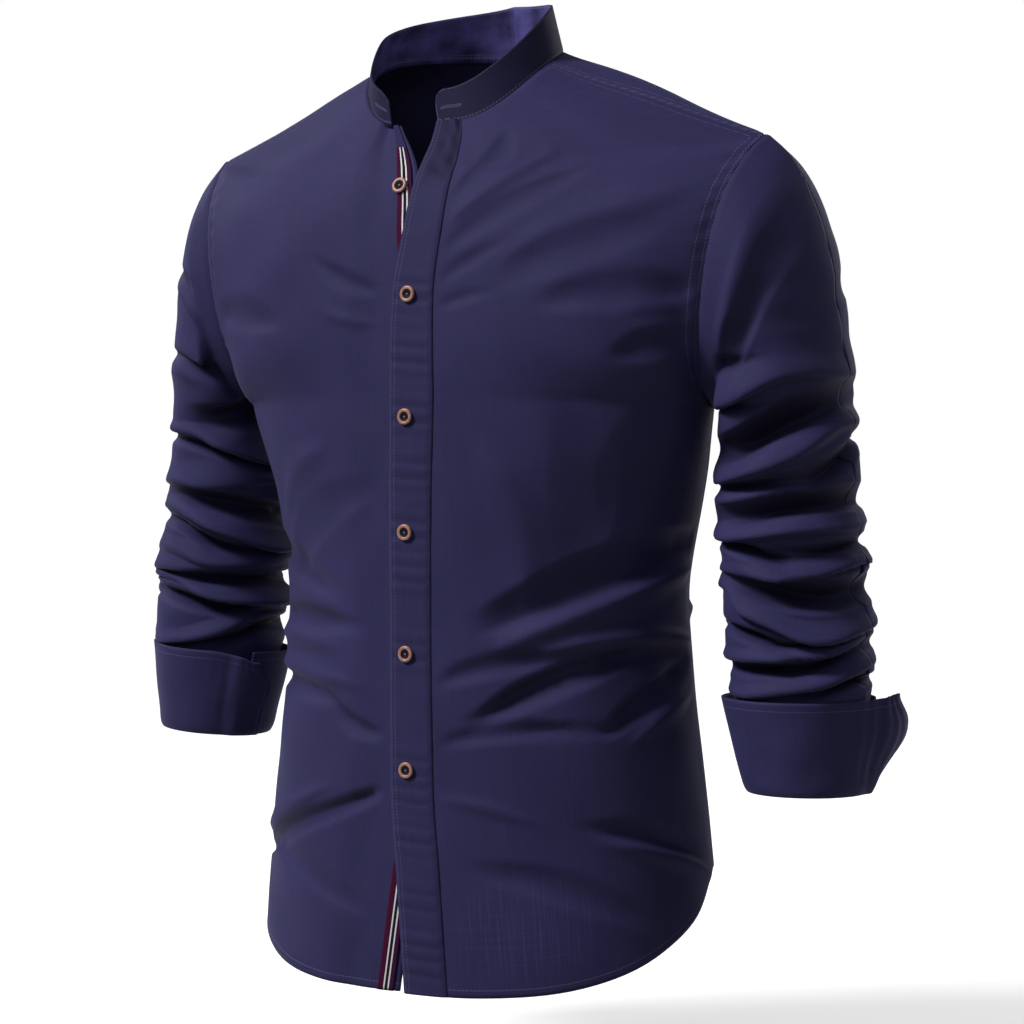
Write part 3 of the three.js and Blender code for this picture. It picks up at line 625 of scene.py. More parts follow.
def mirrored(points: np.ndarray) -> np.ndarray:
    """Turns a grid into the one for the wearer's right.

    Args:
        points: the grid for the left, in millimetres.

    Returns:
        The grid, still facing out.
    """
    return (points * np.array([-1.0, 1.0, 1.0]))[::-1]


def front_points(
    side: Side, cs: np.ndarray, vs: np.ndarray, lift: float = 0.0, fine: float = 1.0
) -> tuple[np.ndarray, np.ndarray]:
    """One front on its side of the body, with its creases.

    Args:
        side: which front.
        cs: distances from its centre line, as a grid.
        vs: 0 at the hem and 1 at the neck, as a grid.
        lift: how far out from the cloth.
        fine: the share of the fine unevenness.

    Returns:
        The points, still drawn for the left side, and the painted shade of each in the folds.
    """
    left = side is Side.LEFT
    z0 = FRONT_ROWS.read("z0", vs)
    shift = OPENING.read("left" if left else "right", z0) * side.value
    slant = 1.0 if left else 1 - 0.6 * smooth((z0 + 92) / 40)
    base = panel_points(FRONT_ROWS, vs, np.where(cs < 0, cs * slant, cs) / PANEL_ARC, shift, False)
    under = 0.0 if left else UNDERLAP * (1 - smooth((cs - 17) / 26))
    quiet = smooth((cs - 14) / 14) * smooth((237 - cs) / 14)
    neck = smooth((0.985 - vs) / 0.05)
    z = base[..., 2]
    table = LEFT_FRONT_CREASES if left else RIGHT_FRONT_CREASES
    push = crease_push(table, cs, z) * quiet * neck
    push += ripple(cs, z, 11 if left else 12, 85, 0.8) * fine * quiet * neck
    edge = smooth((vs - ARMPIT_V) / 0.06) * smooth((SHOULDER_V - vs) / 0.04)
    gather = np.exp(-(((cs - 232) / 6) ** 2)) * edge
    push += gather * 0.75 * np.sin(z / 2.2 + 0.9 * np.sin(z / 9.0))
    # painted shade in the crease troughs and under the ridges
    depth = fold_shade(push, z, 13.0, 1.1) if z.shape[1] > 3 else np.zeros_like(z)
    return base + normals_of(base) * (lift - under + push)[..., None], depth


def sleeve_points(side: Side, angle: np.ndarray, w: np.ndarray) -> tuple[np.ndarray, np.ndarray]:
    """One sleeve from its armhole to inside its cuff, drawn for the left side.

    Args:
        side: which sleeve.
        angle: degrees round it, 0 outermost and 90 in front.
        w: 0 at the armhole and 1 inside the cuff.

    Returns:
        The points, in millimetres, and the painted shade of each in the folds.
    """
    turn = np.radians(angle)
    cell = {name: SLEEVE_ROWS.read(name, w) for name in ("xo", "zo", "xi", "zi", "cy", "ry")}
    first = {name: SLEEVE_ROWS.column(name)[0] for name in ("xo", "zo", "xi", "zi", "cy", "ry")}
    cell["xo"] = cell["xo"] - ARM_TUCK[side] * smooth(w / 0.2) * (1 - smooth((w - 0.5) / 0.4))
    zero = np.zeros_like(w)

    def ring(row: dict, push: np.ndarray) -> np.ndarray:
        """Draws the rings that a row gives.

        Args:
            row: their ends, middles and half depths.
            push: how far each point moves out.

        Returns:
            The points of the rings.
        """
        across, height = (row["xo"] + row["xi"]) / 2, (row["zo"] + row["zi"]) / 2
        middle = np.stack([across + zero, row["cy"] + zero, height + zero], axis=-1)
        arm = np.stack([(row["xo"] - row["xi"]) / 2 + zero, zero, (row["zo"] - row["zi"]) / 2 + zero], -1)
        size = np.linalg.norm(arm, axis=-1, keepdims=True)
        out = middle + arm / size * (size + push[..., None]) * np.cos(turn)[..., None]
        out[..., 1] -= (row["ry"] + push) * np.sin(turn)
        return out

    plain = ring(cell, zero)
    share = smooth((w - 0.35) / 0.6)
    move = np.stack([ARM_OUT[side] * share, zero, ARM_RISE[side] * share], axis=-1)
    height = (plain + move)[..., 2]
    calm = smooth((w - 0.05) / 0.1) * smooth((0.972 - w) / 0.025)
    table = LEFT_SLEEVE_FOLDS if side is Side.LEFT else RIGHT_SLEEVE_FOLDS
    push = fold_push(table, angle, height) * calm
    around = 55 * turn
    swell = smooth((w - 0.1) / 0.2) * calm
    push += (ripple(around * 0.35, height, 21 if side is Side.LEFT else 22, 30, 0.9)) * swell
    points = ring(cell, push) + move
    points[..., 2] -= 0.8 * np.maximum(push, 0) * calm
    # painted shade in the troughs and under the overhanging ridges
    depth = np.clip(1.2 * fold_shade(push, -height, 11.0, -0.95), 0, 1) * calm
    drift = ARMHOLE.point(angle % 360) - ring(first, zero)
    hold = (1 - smooth(w / 0.22))[..., None]
    points = points + drift * hold
    points[..., 0] += ARM_GAP * (1 - smooth(w / 0.1)) - 2.2 * (1 - smooth(w / 0.012))
    points[..., 1] += 1.6 * np.sin(turn) * (1 - smooth(w / 0.012))
    points[..., 2] -= 1.6 * np.cos(turn) * (1 - smooth(w / 0.012))
    return points, depth


# Meshes.


@dataclass
class Cloth:
    """A grid of cloth: its points, and on each its place on the flat cut in millimetres.

    Args:
        points: the grid of points, in millimetres.
        flat: the grid of (across, along) on the cut.
        rims: the grid of distances to two sewn edges and along them.
        depth: the painted shade of each point in the folds, from 0 to 1.
        closed: whether the first and last columns are one.
    """

    points: np.ndarray
    flat: np.ndarray
    rims: np.ndarray
    depth: np.ndarray | None = None
    closed: bool = False

    def build(self, name: str, wall: float, outward: bool = True) -> bpy.types.Object:
        """Makes the object.

        Args:
            name: the object's name.
            wall: the thickness of the cloth, in millimetres.
            outward: whether the points are the outer face.

        Returns:
            The object, with its UV map and its thickness.
        """
        columns, rows = self.points.shape[:2]
        bm = bmesh.new()
        bmesh.ops.create_grid(bm, x_segments=columns - 1, y_segments=rows - 1, size=1.0)
        mesh = bpy.data.meshes.new(name)
        bm.to_mesh(mesh)
        bm.free()
        count = len(mesh.vertices)
        co = np.empty(count * 3)
        mesh.vertices.foreach_get("co", co)
        co = co.reshape(-1, 3)
        i = np.rint((co[:, 0] + 1) / 2 * (columns - 1)).astype(int)
        j = np.rint((co[:, 1] + 1) / 2 * (rows - 1)).astype(int)
        mesh.vertices.foreach_set("co", (self.points[i, j] * MM).ravel())
        corner = np.empty(len(mesh.loops), int)
        mesh.loops.foreach_get("vertex_index", corner)
        layer = mesh.uv_layers[0] if mesh.uv_layers else mesh.uv_layers.new(name="UVMap")
        layer.name = "UVMap"
        layer.data.foreach_set("uv", (self.flat[i, j] * MM)[corner].ravel())
        rim = mesh.attributes.new("rim", "FLOAT_VECTOR", "POINT")
        rim.data.foreach_set("vector", (self.rims[i, j]).ravel())
        # the painted fold shade is stored on the points for the finish to darken by
        depth = self.depth if self.depth is not None else np.zeros(self.points.shape[:2])
        mesh.attributes.new("depth", "FLOAT", "POINT").data.foreach_set("value", depth[i, j])
        if self.closed:
            bm = bmesh.new()
            bm.from_mesh(mesh)
            bmesh.ops.remove_doubles(bm, verts=bm.verts, dist=1e-6)
            bm.to_mesh(mesh)
            bm.free()
        mesh.shade_smooth()
        mesh.update()
        piece = bpy.data.objects.new(name, mesh)
        bpy.context.scene.collection.objects.link(piece)
        thick = piece.modifiers.new("cloth", "SOLIDIFY")
        thick.thickness = wall * MM
        thick.offset = -1.0 if outward else 1.0
        return piece


def grid_of(first: np.ndarray, second: np.ndarray) -> tuple[np.ndarray, np.ndarray]:
    """Makes two grids from two rows of numbers.

    Args:
        first: the numbers across.
        second: the numbers along.

    Returns:
        The grid of the first and that of the second.
    """
    return np.meshgrid(first, second, indexing="ij")


# Finishes.


class Nodes:
    """Short ways to place and join the nodes of one material."""

    def __init__(self, name: str) -> None:
        """Starts a material with one principled shader.

        Args:
            name: the material's name.
        """
        self.material = bpy.data.materials.new(name)
        self.material.use_nodes = True
        self.tree = self.material.node_tree
        self.shader = self.tree.nodes["Principled BSDF"]

    def add(self, kind: str, **settings: object) -> bpy.types.Node:
        """Adds a node.

        Args:
            kind: its type in Blender.
            settings: values of its inputs, by their names, or of its properties.

        Returns:
            The node.
        """
        node = self.tree.nodes.new(kind)
        for key, value in settings.items():
            name = key.replace("_", " ").title()
            if name in node.inputs:
                node.inputs[name].default_value = value
            else:
                setattr(node, key, value)
        return node

    def join(self, source: bpy.types.NodeSocket, target: bpy.types.NodeSocket) -> None:
        """Links two sockets.

        Args:
            source: where the value comes from.
            target: where it goes.
        """
        self.tree.links.new(source, target)

    def maths(self, operation: str, *values: object) -> bpy.types.NodeSocket:
        """Adds a sum.

        Args:
            operation: its name in Blender.
            values: numbers or sockets.

        Returns:
            The result's socket.
        """
        node = self.tree.nodes.new("ShaderNodeMath")
        node.operation = operation
        for index, value in enumerate(values):
            if isinstance(value, (int, float)):
                node.inputs[index].default_value = value
            else:
                self.join(value, node.inputs[index])
        return node.outputs[0]

    def noise(self, vector: bpy.types.NodeSocket, scale: float, detail: float = 3.0) -> bpy.types.NodeSocket:
        """Adds a noise.

        Args:
            vector: what it reads.
            scale: how fine it is.
            detail: how many finer layers it has.

        Returns:
            Its height's socket.
        """
        node = self.add("ShaderNodeTexNoise")
        node.inputs["Scale"].default_value = scale
        node.inputs["Detail"].default_value = detail
        self.join(vector, node.inputs["Vector"])
        return node.outputs["Fac"]

    def stretched(self, scale: tuple[float, float, float]) -> bpy.types.NodeSocket:
        """Reads the place on the flat cut.

        Args:
            scale: how much it is stretched each way.

        Returns:
            The stretched place's socket.
        """
        where = self.add("ShaderNodeUVMap", uv_map="UVMap")
        mapping = self.add("ShaderNodeMapping")
        mapping.inputs["Scale"].default_value = scale
        self.join(where.outputs["UV"], mapping.inputs["Vector"])
        return mapping.outputs["Vector"]

    def rims(self) -> tuple[bpy.types.NodeSocket, bpy.types.NodeSocket, bpy.types.NodeSocket]:
        """Returns the distances to the two sewn edges, and along them."""
        rim = self.add("ShaderNodeAttribute", attribute_name="rim", attribute_type="GEOMETRY")
        parts = self.add("ShaderNodeSeparateXYZ")
        self.join(rim.outputs["Vector"], parts.inputs[0])
        return parts.outputs[0], parts.outputs[1], parts.outputs[2]

    def mix(self, share: bpy.types.NodeSocket, low: object, high: object) -> bpy.types.NodeSocket:
        """Mixes two colours.

        Args:
            share: how much of the second shows.
            low: the first colour, or its socket.
            high: the second colour, or its socket.

        Returns:
            The colour's socket.
        """
        node = self.add("ShaderNodeMix", data_type="RGBA")
        self.join(share, node.inputs[0])
        for socket, value in ((node.inputs[6], low), (node.inputs[7], high)):
            if isinstance(value, tuple):
                socket.default_value = value
            else:
                self.join(value, socket)
        return node.outputs[2]

    def line(self, distance: bpy.types.NodeSocket, at: float, half: float) -> bpy.types.NodeSocket:
        """Draws a line along an edge.

        Args:
            distance: how far each point is from the edge.
            at: how far the line is from it.
            half: half the line's width.

        Returns:
            A socket that reads 1 on the line and 0 off it.
        """
        off = self.maths("ABSOLUTE", self.maths("SUBTRACT", distance, at))
        share = self.maths("SMOOTH_MIN", self.maths("DIVIDE", off, half), 1.0, 0.2)
        return self.maths("SUBTRACT", 1.0, share)


@dataclass(frozen=True)
class NavyCloth:
    """Fine plain-woven navy cotton with faint slubs, a soft sheen, rows of stitching and painted shade in
    its folds.

    Args:
        name: the finish's name.
        rows_a: distances of stitch rows from the first edge, in millimetres.
        rows_b: distances of stitch rows from the second edge.
        lightness: how light the dye is; the collar's outer face takes 0.5 of it as painted shade.
        slubs: how strong the slubs are.
        thread: how plain the stitches are.
        worn: the share of the tone that comes in patches.
        hole: a buttonhole's middle on the flat cut and half its length, in millimetres.
        linen: the middle and the half size of a patch of plain thick threads, in millimetres.
    """

    name: str
    rows_a: tuple[float, ...] = ()
    rows_b: tuple[float, ...] = ()
    lightness: float = 1.0
    slubs: float = 0.35
    thread: float = 0.55
    worn: float = 0.35
    hole: tuple[float, float, float] | None = None
    linen: tuple[float, float, float] | None = None

    def make(self) -> bpy.types.Material:
        """Returns the material."""
        n = Nodes(self.name)
        base = tuple(c * self.lightness for c in (0.0295, 0.0265, 0.088))
        dark = tuple(c * (0.9 - self.worn / 2) for c in base) + (1.0,)
        pale = tuple(c * (1.0 + self.worn) for c in base) + (1.0,)
        patches = 9 + 60 * (self.worn - 0.35)
        cloud = n.noise(n.stretched((patches, patches, 1)), 1.0, 4.0)
        warp = n.noise(n.stretched((1500, 28, 1)), 1.0, 2.0)
        weft = n.noise(n.stretched((30, 1300, 1)), 1.0, 2.0)
        grain = n.noise(n.stretched((2600, 2600, 1)), 1.0, 2.0)
        threads = n.maths("ADD", n.maths("MULTIPLY", warp, 0.55), n.maths("MULTIPLY", weft, 0.45))
        patchy, even = n.maths("MULTIPLY", cloud, self.worn), n.maths("MULTIPLY", threads, 1 - self.worn)
        tone = n.maths("SUBTRACT", n.maths("ADD", patchy, even), 0.5)
        spread = n.maths("ADD", n.maths("MULTIPLY", tone, 1.2 + self.slubs * 3), 0.5)
        colour = n.mix(n.maths("MAXIMUM", n.maths("MINIMUM", spread, 1.0), 0.0), dark, pale)
        if self.linen is not None:
            colour = n.mix(self.linen_share(n), colour, tuple(c * 2.1 for c in base) + (1.0,))
        # painted shade: the colour goes towards near black where the folds would lie in shade
        painted_fold_shade = n.add("ShaderNodeAttribute", attribute_name="depth", attribute_type="GEOMETRY")
        depth = painted_fold_shade.outputs["Fac"]
        colour = n.mix(n.maths("MULTIPLY", depth, 0.9), colour, (0.0035, 0.003, 0.012, 1.0))
        first, second, along = n.rims()
        dash = n.maths("GREATER_THAN", n.maths("SINE", n.maths("MULTIPLY", along, math.tau / 2.6)), -0.55)
        sewn: object = None
        for distance, places in ((first, self.rows_a), (second, self.rows_b)):
            for place in places:
                row = n.line(distance, place, 0.55)
                sewn = row if sewn is None else n.maths("MAXIMUM", sewn, row)
        height = n.maths("ADD", n.maths("MULTIPLY", threads, 0.7), n.maths("MULTIPLY", grain, 0.5))
        if sewn is not None:
            thread = n.maths("MULTIPLY", sewn, dash)
            colour = n.mix(n.maths("MULTIPLY", thread, self.thread), colour, (0.14, 0.13, 0.25, 1.0))
            groove = n.maths("MULTIPLY", sewn, 1.6)
            height = n.maths("SUBTRACT", height, groove)
            height = n.maths("ADD", height, n.maths("MULTIPLY", thread, 1.9))
        if self.hole is not None:
            slit, border = self.buttonhole(n)
            colour = n.mix(n.maths("MULTIPLY", border, 0.7), colour, (0.10, 0.095, 0.19, 1.0))
            # the slit is painted near black: painted shade in the cut
            colour = n.mix(slit, colour, (0.002, 0.002, 0.006, 1.0))
            height = n.maths("ADD", height, n.maths("MULTIPLY", border, 2.2))
        n.join(colour, n.shader.inputs["Base Color"])
        rough = n.maths("ADD", n.maths("MULTIPLY", threads, 0.16), 0.60)
        n.join(rough, n.shader.inputs["Roughness"])
        bump = n.add("ShaderNodeBump")
        bump.inputs["Strength"].default_value = 0.35
        bump.inputs["Distance"].default_value = 0.0004
        n.join(height, bump.inputs["Height"])
        n.join(bump.outputs["Normal"], n.shader.inputs["Normal"])
        n.shader.inputs["Specular IOR Level"].default_value = 0.10
        n.shader.inputs["Sheen Weight"].default_value = 0.05
        n.shader.inputs["Sheen Roughness"].default_value = 0.45
        n.shader.inputs["Sheen Tint"].default_value = (0.62, 0.60, 0.95, 1.0)
        return n.material

    def linen_share(self, n: Nodes) -> bpy.types.NodeSocket:
        """Draws thick threads that show both ways in one patch of the cloth.

        Args:
            n: the material.

        Returns:
            How much of the paler thread shows.
        """
        parts = n.add("ShaderNodeSeparateXYZ")
        n.join(n.add("ShaderNodeUVMap", uv_map="UVMap").outputs["UV"], parts.inputs[0])
        x, y, half = (value * MM for value in self.linen)
        off_x = n.maths("DIVIDE", n.maths("SUBTRACT", parts.outputs[0], x), half)
        off_y = n.maths("DIVIDE", n.maths("SUBTRACT", parts.outputs[1], y), half * 0.7)
        square = n.maths("ADD", n.maths("MULTIPLY", off_x, off_x), n.maths("MULTIPLY", off_y, off_y))
        near = n.maths("MAXIMUM", n.maths("SUBTRACT", 1.0, square), 0.0)
        upright = n.maths("SUBTRACT", n.noise(n.stretched((620, 14, 1)), 1.0, 2.0), 0.50)
        level = n.maths("SUBTRACT", n.noise(n.stretched((14, 520, 1)), 1.0, 2.0), 0.50)
        crossing = n.maths("MULTIPLY", n.maths("MAXIMUM", level, 0.0), 0.45)
        streaks = n.maths("ADD", n.maths("MAXIMUM", upright, 0.0), crossing)
        return n.maths("MINIMUM", n.maths("MULTIPLY", n.maths("MULTIPLY", streaks, 2.8), near), 0.8)

    def buttonhole(self, n: Nodes) -> tuple[bpy.types.NodeSocket, bpy.types.NodeSocket]:
        """Draws a buttonhole across the band.

        Args:
            n: the material.

        Returns:
            Where its slit is, and where the stitches round it are.
        """
        parts = n.add("ShaderNodeSeparateXYZ")
        n.join(n.add("ShaderNodeUVMap", uv_map="UVMap").outputs["UV"], parts.inputs[0])
        across = n.maths("ABSOLUTE", n.maths("SUBTRACT", parts.outputs[0], self.hole[0] * MM))
        beyond = n.maths("MAXIMUM", n.maths("SUBTRACT", across, self.hole[2] * MM), 0.0)
        off = n.maths("SUBTRACT", parts.outputs[1], self.hole[1] * MM)
        square = n.maths("ADD", n.maths("MULTIPLY", off, off), n.maths("MULTIPLY", beyond, beyond))
        distance = n.maths("SQRT", square)
        slit = n.maths("LESS_THAN", distance, 0.35 * MM)
        return slit, n.maths("LESS_THAN", distance, 1.6 * MM)


@dataclass(frozen=True)
class StripedTape:
    """Maroon woven tape with two thin white lines and a dark one between them.

    Args:
        turned: the height above which it is turned under the cloth, in millimetres.
    """

    turned: float = -71.0

    def make(self) -> bpy.types.Material:
        """Returns the material."""
        n = Nodes("striped_tape")
        first, _, along = n.rims()
        off = n.maths("ABSOLUTE", first)
        ribs = n.noise(n.stretched((500, 1700, 1)), 1.0, 2.0)
        maroon = n.mix(ribs, (0.030, 0.002, 0.014, 1.0), (0.075, 0.006, 0.038, 1.0))
        purple = n.mix(ribs, (0.022, 0.003, 0.02, 1.0), (0.05, 0.009, 0.06, 1.0))
        outer = n.mix(n.maths("LESS_THAN", first, -3.6), maroon, purple)
        inner = n.mix(n.maths("LESS_THAN", off, 1.5), outer, (0.010, 0.008, 0.022, 1.0))
        white = n.maths("LESS_THAN", n.maths("ABSOLUTE", n.maths("SUBTRACT", off, 1.9)), 0.62)
        colour = n.mix(white, inner, (0.74, 0.72, 0.72, 1.0))
        colour = n.mix(n.maths("GREATER_THAN", along, self.turned), colour, (0.030, 0.026, 0.088, 1.0))
        n.join(colour, n.shader.inputs["Base Color"])
        n.shader.inputs["Roughness"].default_value = 0.85
        n.shader.inputs["Specular IOR Level"].default_value = 0.08
        bump = n.add("ShaderNodeBump")
        bump.inputs["Strength"].default_value = 0.4
        bump.inputs["Distance"].default_value = 0.0003
        n.join(ribs, bump.inputs["Height"])
        n.join(bump.outputs["Normal"], n.shader.inputs["Normal"])
        return n.material


class ButtonPart(Enum):
    """The parts of a button that differ in colour."""

    RIM = "button_rim"
    DISH = "button_dish"
    THREAD = "button_thread"


@dataclass(frozen=True)
class ButtonFinish:
    """Polished brown resin, marbled along the rim, with a dark dish.

    Args:
        part: which part of the button.
    """

    part: ButtonPart

    def make(self) -> bpy.types.Material:
        """Returns the material."""
        n = Nodes(self.part.value)
        where = n.add("ShaderNodeTexCoord").outputs["Object"]
        cloud = n.noise(where, 420.0, 4.0)
        dark, pale, rough = {
            ButtonPart.RIM: ((0.24, 0.10, 0.075, 1.0), (0.55, 0.27, 0.20, 1.0), 0.28),
            ButtonPart.DISH: ((0.004, 0.004, 0.012, 1.0), (0.016, 0.011, 0.022, 1.0), 0.5),
            ButtonPart.THREAD: ((0.30, 0.22, 0.22, 1.0), (0.60, 0.50, 0.50, 1.0), 0.8),
        }[self.part]
        n.join(n.mix(cloud, dark, pale), n.shader.inputs["Base Color"])
        n.shader.inputs["Specular IOR Level"].default_value = 0.5 if self.part is ButtonPart.RIM else 0.08
        n.join(n.maths("ADD", n.maths("MULTIPLY", cloud, 0.15), rough), n.shader.inputs["Roughness"])
        bump = n.add("ShaderNodeBump")
        bump.inputs["Strength"].default_value = 0.15
        bump.inputs["Distance"].default_value = 0.0002
        n.join(n.noise(where, 2500.0, 2.0), bump.inputs["Height"])
        n.join(bump.outputs["Normal"], n.shader.inputs["Normal"])
        return n.material


# Pieces.


def finish_piece(piece: bpy.types.Object, material: bpy.types.Material, slot: str, *nodes: str) -> None:
    """Dresses a piece, hides the solids it stands for, and sets it on the body.

    Args:
        piece: the object.
        material: its finish.
        slot: its material slot in the record; not used.
        nodes: the solids it stands for.
    """
    piece.data.materials.append(material)
    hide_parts(*nodes)
    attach(piece, "root")
    log.info("%s: %d faces", piece.name, len(piece.data.polygons))


@dataclass
class Body:
    """The two fronts, the back, the yoke, the placket and the striped tape.

    Args:
        columns: how many columns a front has.
        rows: how many rows.
        puckers: heights of the placket's puckers away from the buttons, in millimetres.
    """

    columns: int = 118
    rows: int = 230
    puckers: tuple[float, ...] = (-395.0, -560.0, -590.0, -640.0, -668.0, -690.0, -232.0, -318.0)

    def front(self, side: Side) -> bpy.types.Object:
        """Makes one front.

        Args:
            side: which one.

        Returns:
            The object.
        """
        left = side is Side.LEFT
        start = -TURNED_EDGE + 0.8 if left else -TURNED_EDGE
        lap = np.linspace(start, TURNED_EDGE, 10)[:-1]
        cs = np.concatenate([lap, np.linspace(TURNED_EDGE, PANEL_ARC, self.columns)])
        c, v = grid_of(cs, np.linspace(0, 1, self.rows))
        points, depth = front_points(side, c, v)
        flat = np.stack([c, FRONT_ROWS.read("z0", v)], axis=-1)
        hem = (FRONT_ROWS.read("z0", v) + 709) * 0.86
        upper = smooth((v - 0.585) / 0.02)
        arm = (PANEL_ARC - c) * 0.86 * upper + 40 * (1 - upper)
        rims = np.stack([arm, hem, c + points[..., 2]], axis=-1)
        if not left:
            points, flat, rims, depth = mirrored(points), flat[::-1], rims[::-1], depth[::-1]
        cloth = Cloth(neck_shift(points), flat, rims, depth)
        name = "front_left" if left else "front_right"
        piece = cloth.build(f"cloth_{name}", WALL)
        linen = (64.0, -660.0, 60.0) if left else (110.0, -640.0, 45.0)
        finish = NavyCloth(f"navy_{name}", (1.2, 3.0, 10.0), (5.0,), 1.0, 0.26, 0.7, 0.35, None, linen)
        finish_piece(piece, finish.make(), "navy_cotton", name)
        return piece

    def back_grid(
        self, low: float, high: float, rows: int, seed: int
    ) -> tuple[np.ndarray, np.ndarray, np.ndarray]:
        """Points of the back or the yoke.

        Args:
            low: where it starts, from the hem.
            high: where it ends.
            rows: how many rows.
            seed: fixes its unevenness.

        Returns:
            The points, and the grids of places across and along.
        """
        c, v = grid_of(np.linspace(BACK_ARC, -BACK_ARC, 150), np.linspace(low, high, rows))
        base = panel_points(BACK_ROWS, v, np.abs(c) / BACK_ARC, np.zeros_like(v), True)
        base[..., 0] *= np.sign(c)
        quiet = smooth((BACK_ARC - 3 - np.abs(c)) / 16)
        seam = smooth((np.abs(v - YOKE_V) - 0.01) / 0.04) * smooth((0.985 - v) / 0.04)
        push = crease_push(BACK_CREASES, c, base[..., 2]) + ripple(c, base[..., 2], seed, 80, 0.8)
        tuck = WALL * 1.1 * smooth((np.abs(c) - BACK_ARC + 5) / 4) * (v < SHOULDER_V)
        return base + normals_of(base) * (push * quiet * seam - tuck)[..., None], c, v

    def back(self) -> bpy.types.Object:
        """Makes the back below the yoke seam and returns it."""
        points, c, v = self.back_grid(0, YOKE_V - 0.0012, 190, 31)
        z0 = BACK_ROWS.read("z0", v)
        rims = np.stack([(YOKE_V - v) * 750, (z0 + 722) * 0.9, c], axis=-1)
        cloth = Cloth(neck_shift(points), np.stack([c, z0], axis=-1), rims)
        piece = cloth.build("cloth_back", WALL)
        finish_piece(piece, NavyCloth("navy_back", (), (5.0,)).make(), "navy_cotton", "back")
        return piece

    def yoke(self) -> bpy.types.Object:
        """Makes the yoke over the shoulders and returns it."""
        points, c, v = self.back_grid(YOKE_V + 0.0012, 1, 84, 32)
        z0 = BACK_ROWS.read("z0", v)
        front = np.where(v > SHOULDER_V, (BACK_ARC - np.abs(c)) * 0.8, 40.0)
        rims = np.stack([(v - YOKE_V) * 600, front, c + v * 300], axis=-1)
        cloth = Cloth(neck_shift(points), np.stack([c, z0], axis=-1), rims)
        piece = cloth.build("cloth_yoke", WALL)
        finish_piece(piece, NavyCloth("navy_yoke", (3.0,), (3.0,)).make(), "navy_cotton", "yoke")
        return piece

    def placket(self) -> bpy.types.Object:
        """Makes the front band with its puckers and returns it."""
        c, v = grid_of(np.linspace(-PLACKET_HALF, PLACKET_HALF, 26), np.linspace(0, 1, 420))
        z = FRONT_ROWS.read("z0", v)
        edge = np.minimum(c + PLACKET_HALF, PLACKET_HALF - c)
        pucker = np.zeros_like(z)
        for height in BUTTON_HEIGHTS + self.puckers:
            near = np.exp(-(((z - height) / 15) ** 2))
            pucker += near * 0.5 * np.sin((z - height) / 1.9 + c * 0.05) * smooth(edge / 4)
        roll = 1.15 * smooth(edge / 3.0) - 1.15
        top = smooth((z + 112) / 22)
        crumple = ripple(c * 1.3, z, 43, 20, 1.1) * top * smooth(edge / 4)
        lift = SEAM_GAP + TRIM_WALL
        points, _ = front_points(Side.LEFT, c, v, lift, 0.0)
        move = roll + pucker * 0.75 + crumple + ripple(c, z, 41, 26, 0.12)
        points = points + normals_of(points) * move[..., None]
        # painted shade: at the top of the band under the collar, in the crumples and in the troughs of the
        # puckers
        depth = 0.5 * top + 0.35 * smooth(-crumple) + 0.3 * smooth(-pucker * 2.0)
        depth = np.clip(depth, 0, 1) * smooth(edge / 3)
        rims = np.stack([c + PLACKET_HALF, PLACKET_HALF - c, z], axis=-1)
        cloth = Cloth(neck_shift(points), np.stack([c, z], axis=-1), rims, depth)
        piece = cloth.build("cloth_placket", TRIM_WALL)
        finish = NavyCloth("navy_placket", (2.2, 5.4), (), 0.95, 0.5, 0.45)
        finish_piece(piece, finish.make(), "navy_cotton", "placket")
        return piece

    def tape(self) -> bpy.types.Object:
        """Makes the striped tape along the right front and returns it."""
        c, v = grid_of(TAPE_MIDDLE + np.linspace(-TAPE_HALF, TAPE_HALF, 14), np.linspace(0, 1, 240))
        points = mirrored(front_points(Side.RIGHT, c, v, SEAM_GAP + TRIM_WALL, 0.0)[0])
        z = FRONT_ROWS.read("z0", v)
        flat, rims = np.stack([c, z], axis=-1)[::-1], np.stack([c - TAPE_MIDDLE, c * 0, z], axis=-1)[::-1]
        piece = Cloth(neck_shift(points), flat, rims).build("woven_tape", TRIM_WALL)
        finish_piece(piece, StripedTape().make(), "striped_tape", "button_tape")
        return piece

    def build(self) -> None:
        """Makes every piece of the body."""
        for side in Side:
            self.front(side)
        self.back()
        self.yoke()
        self.placket()
        self.tape()


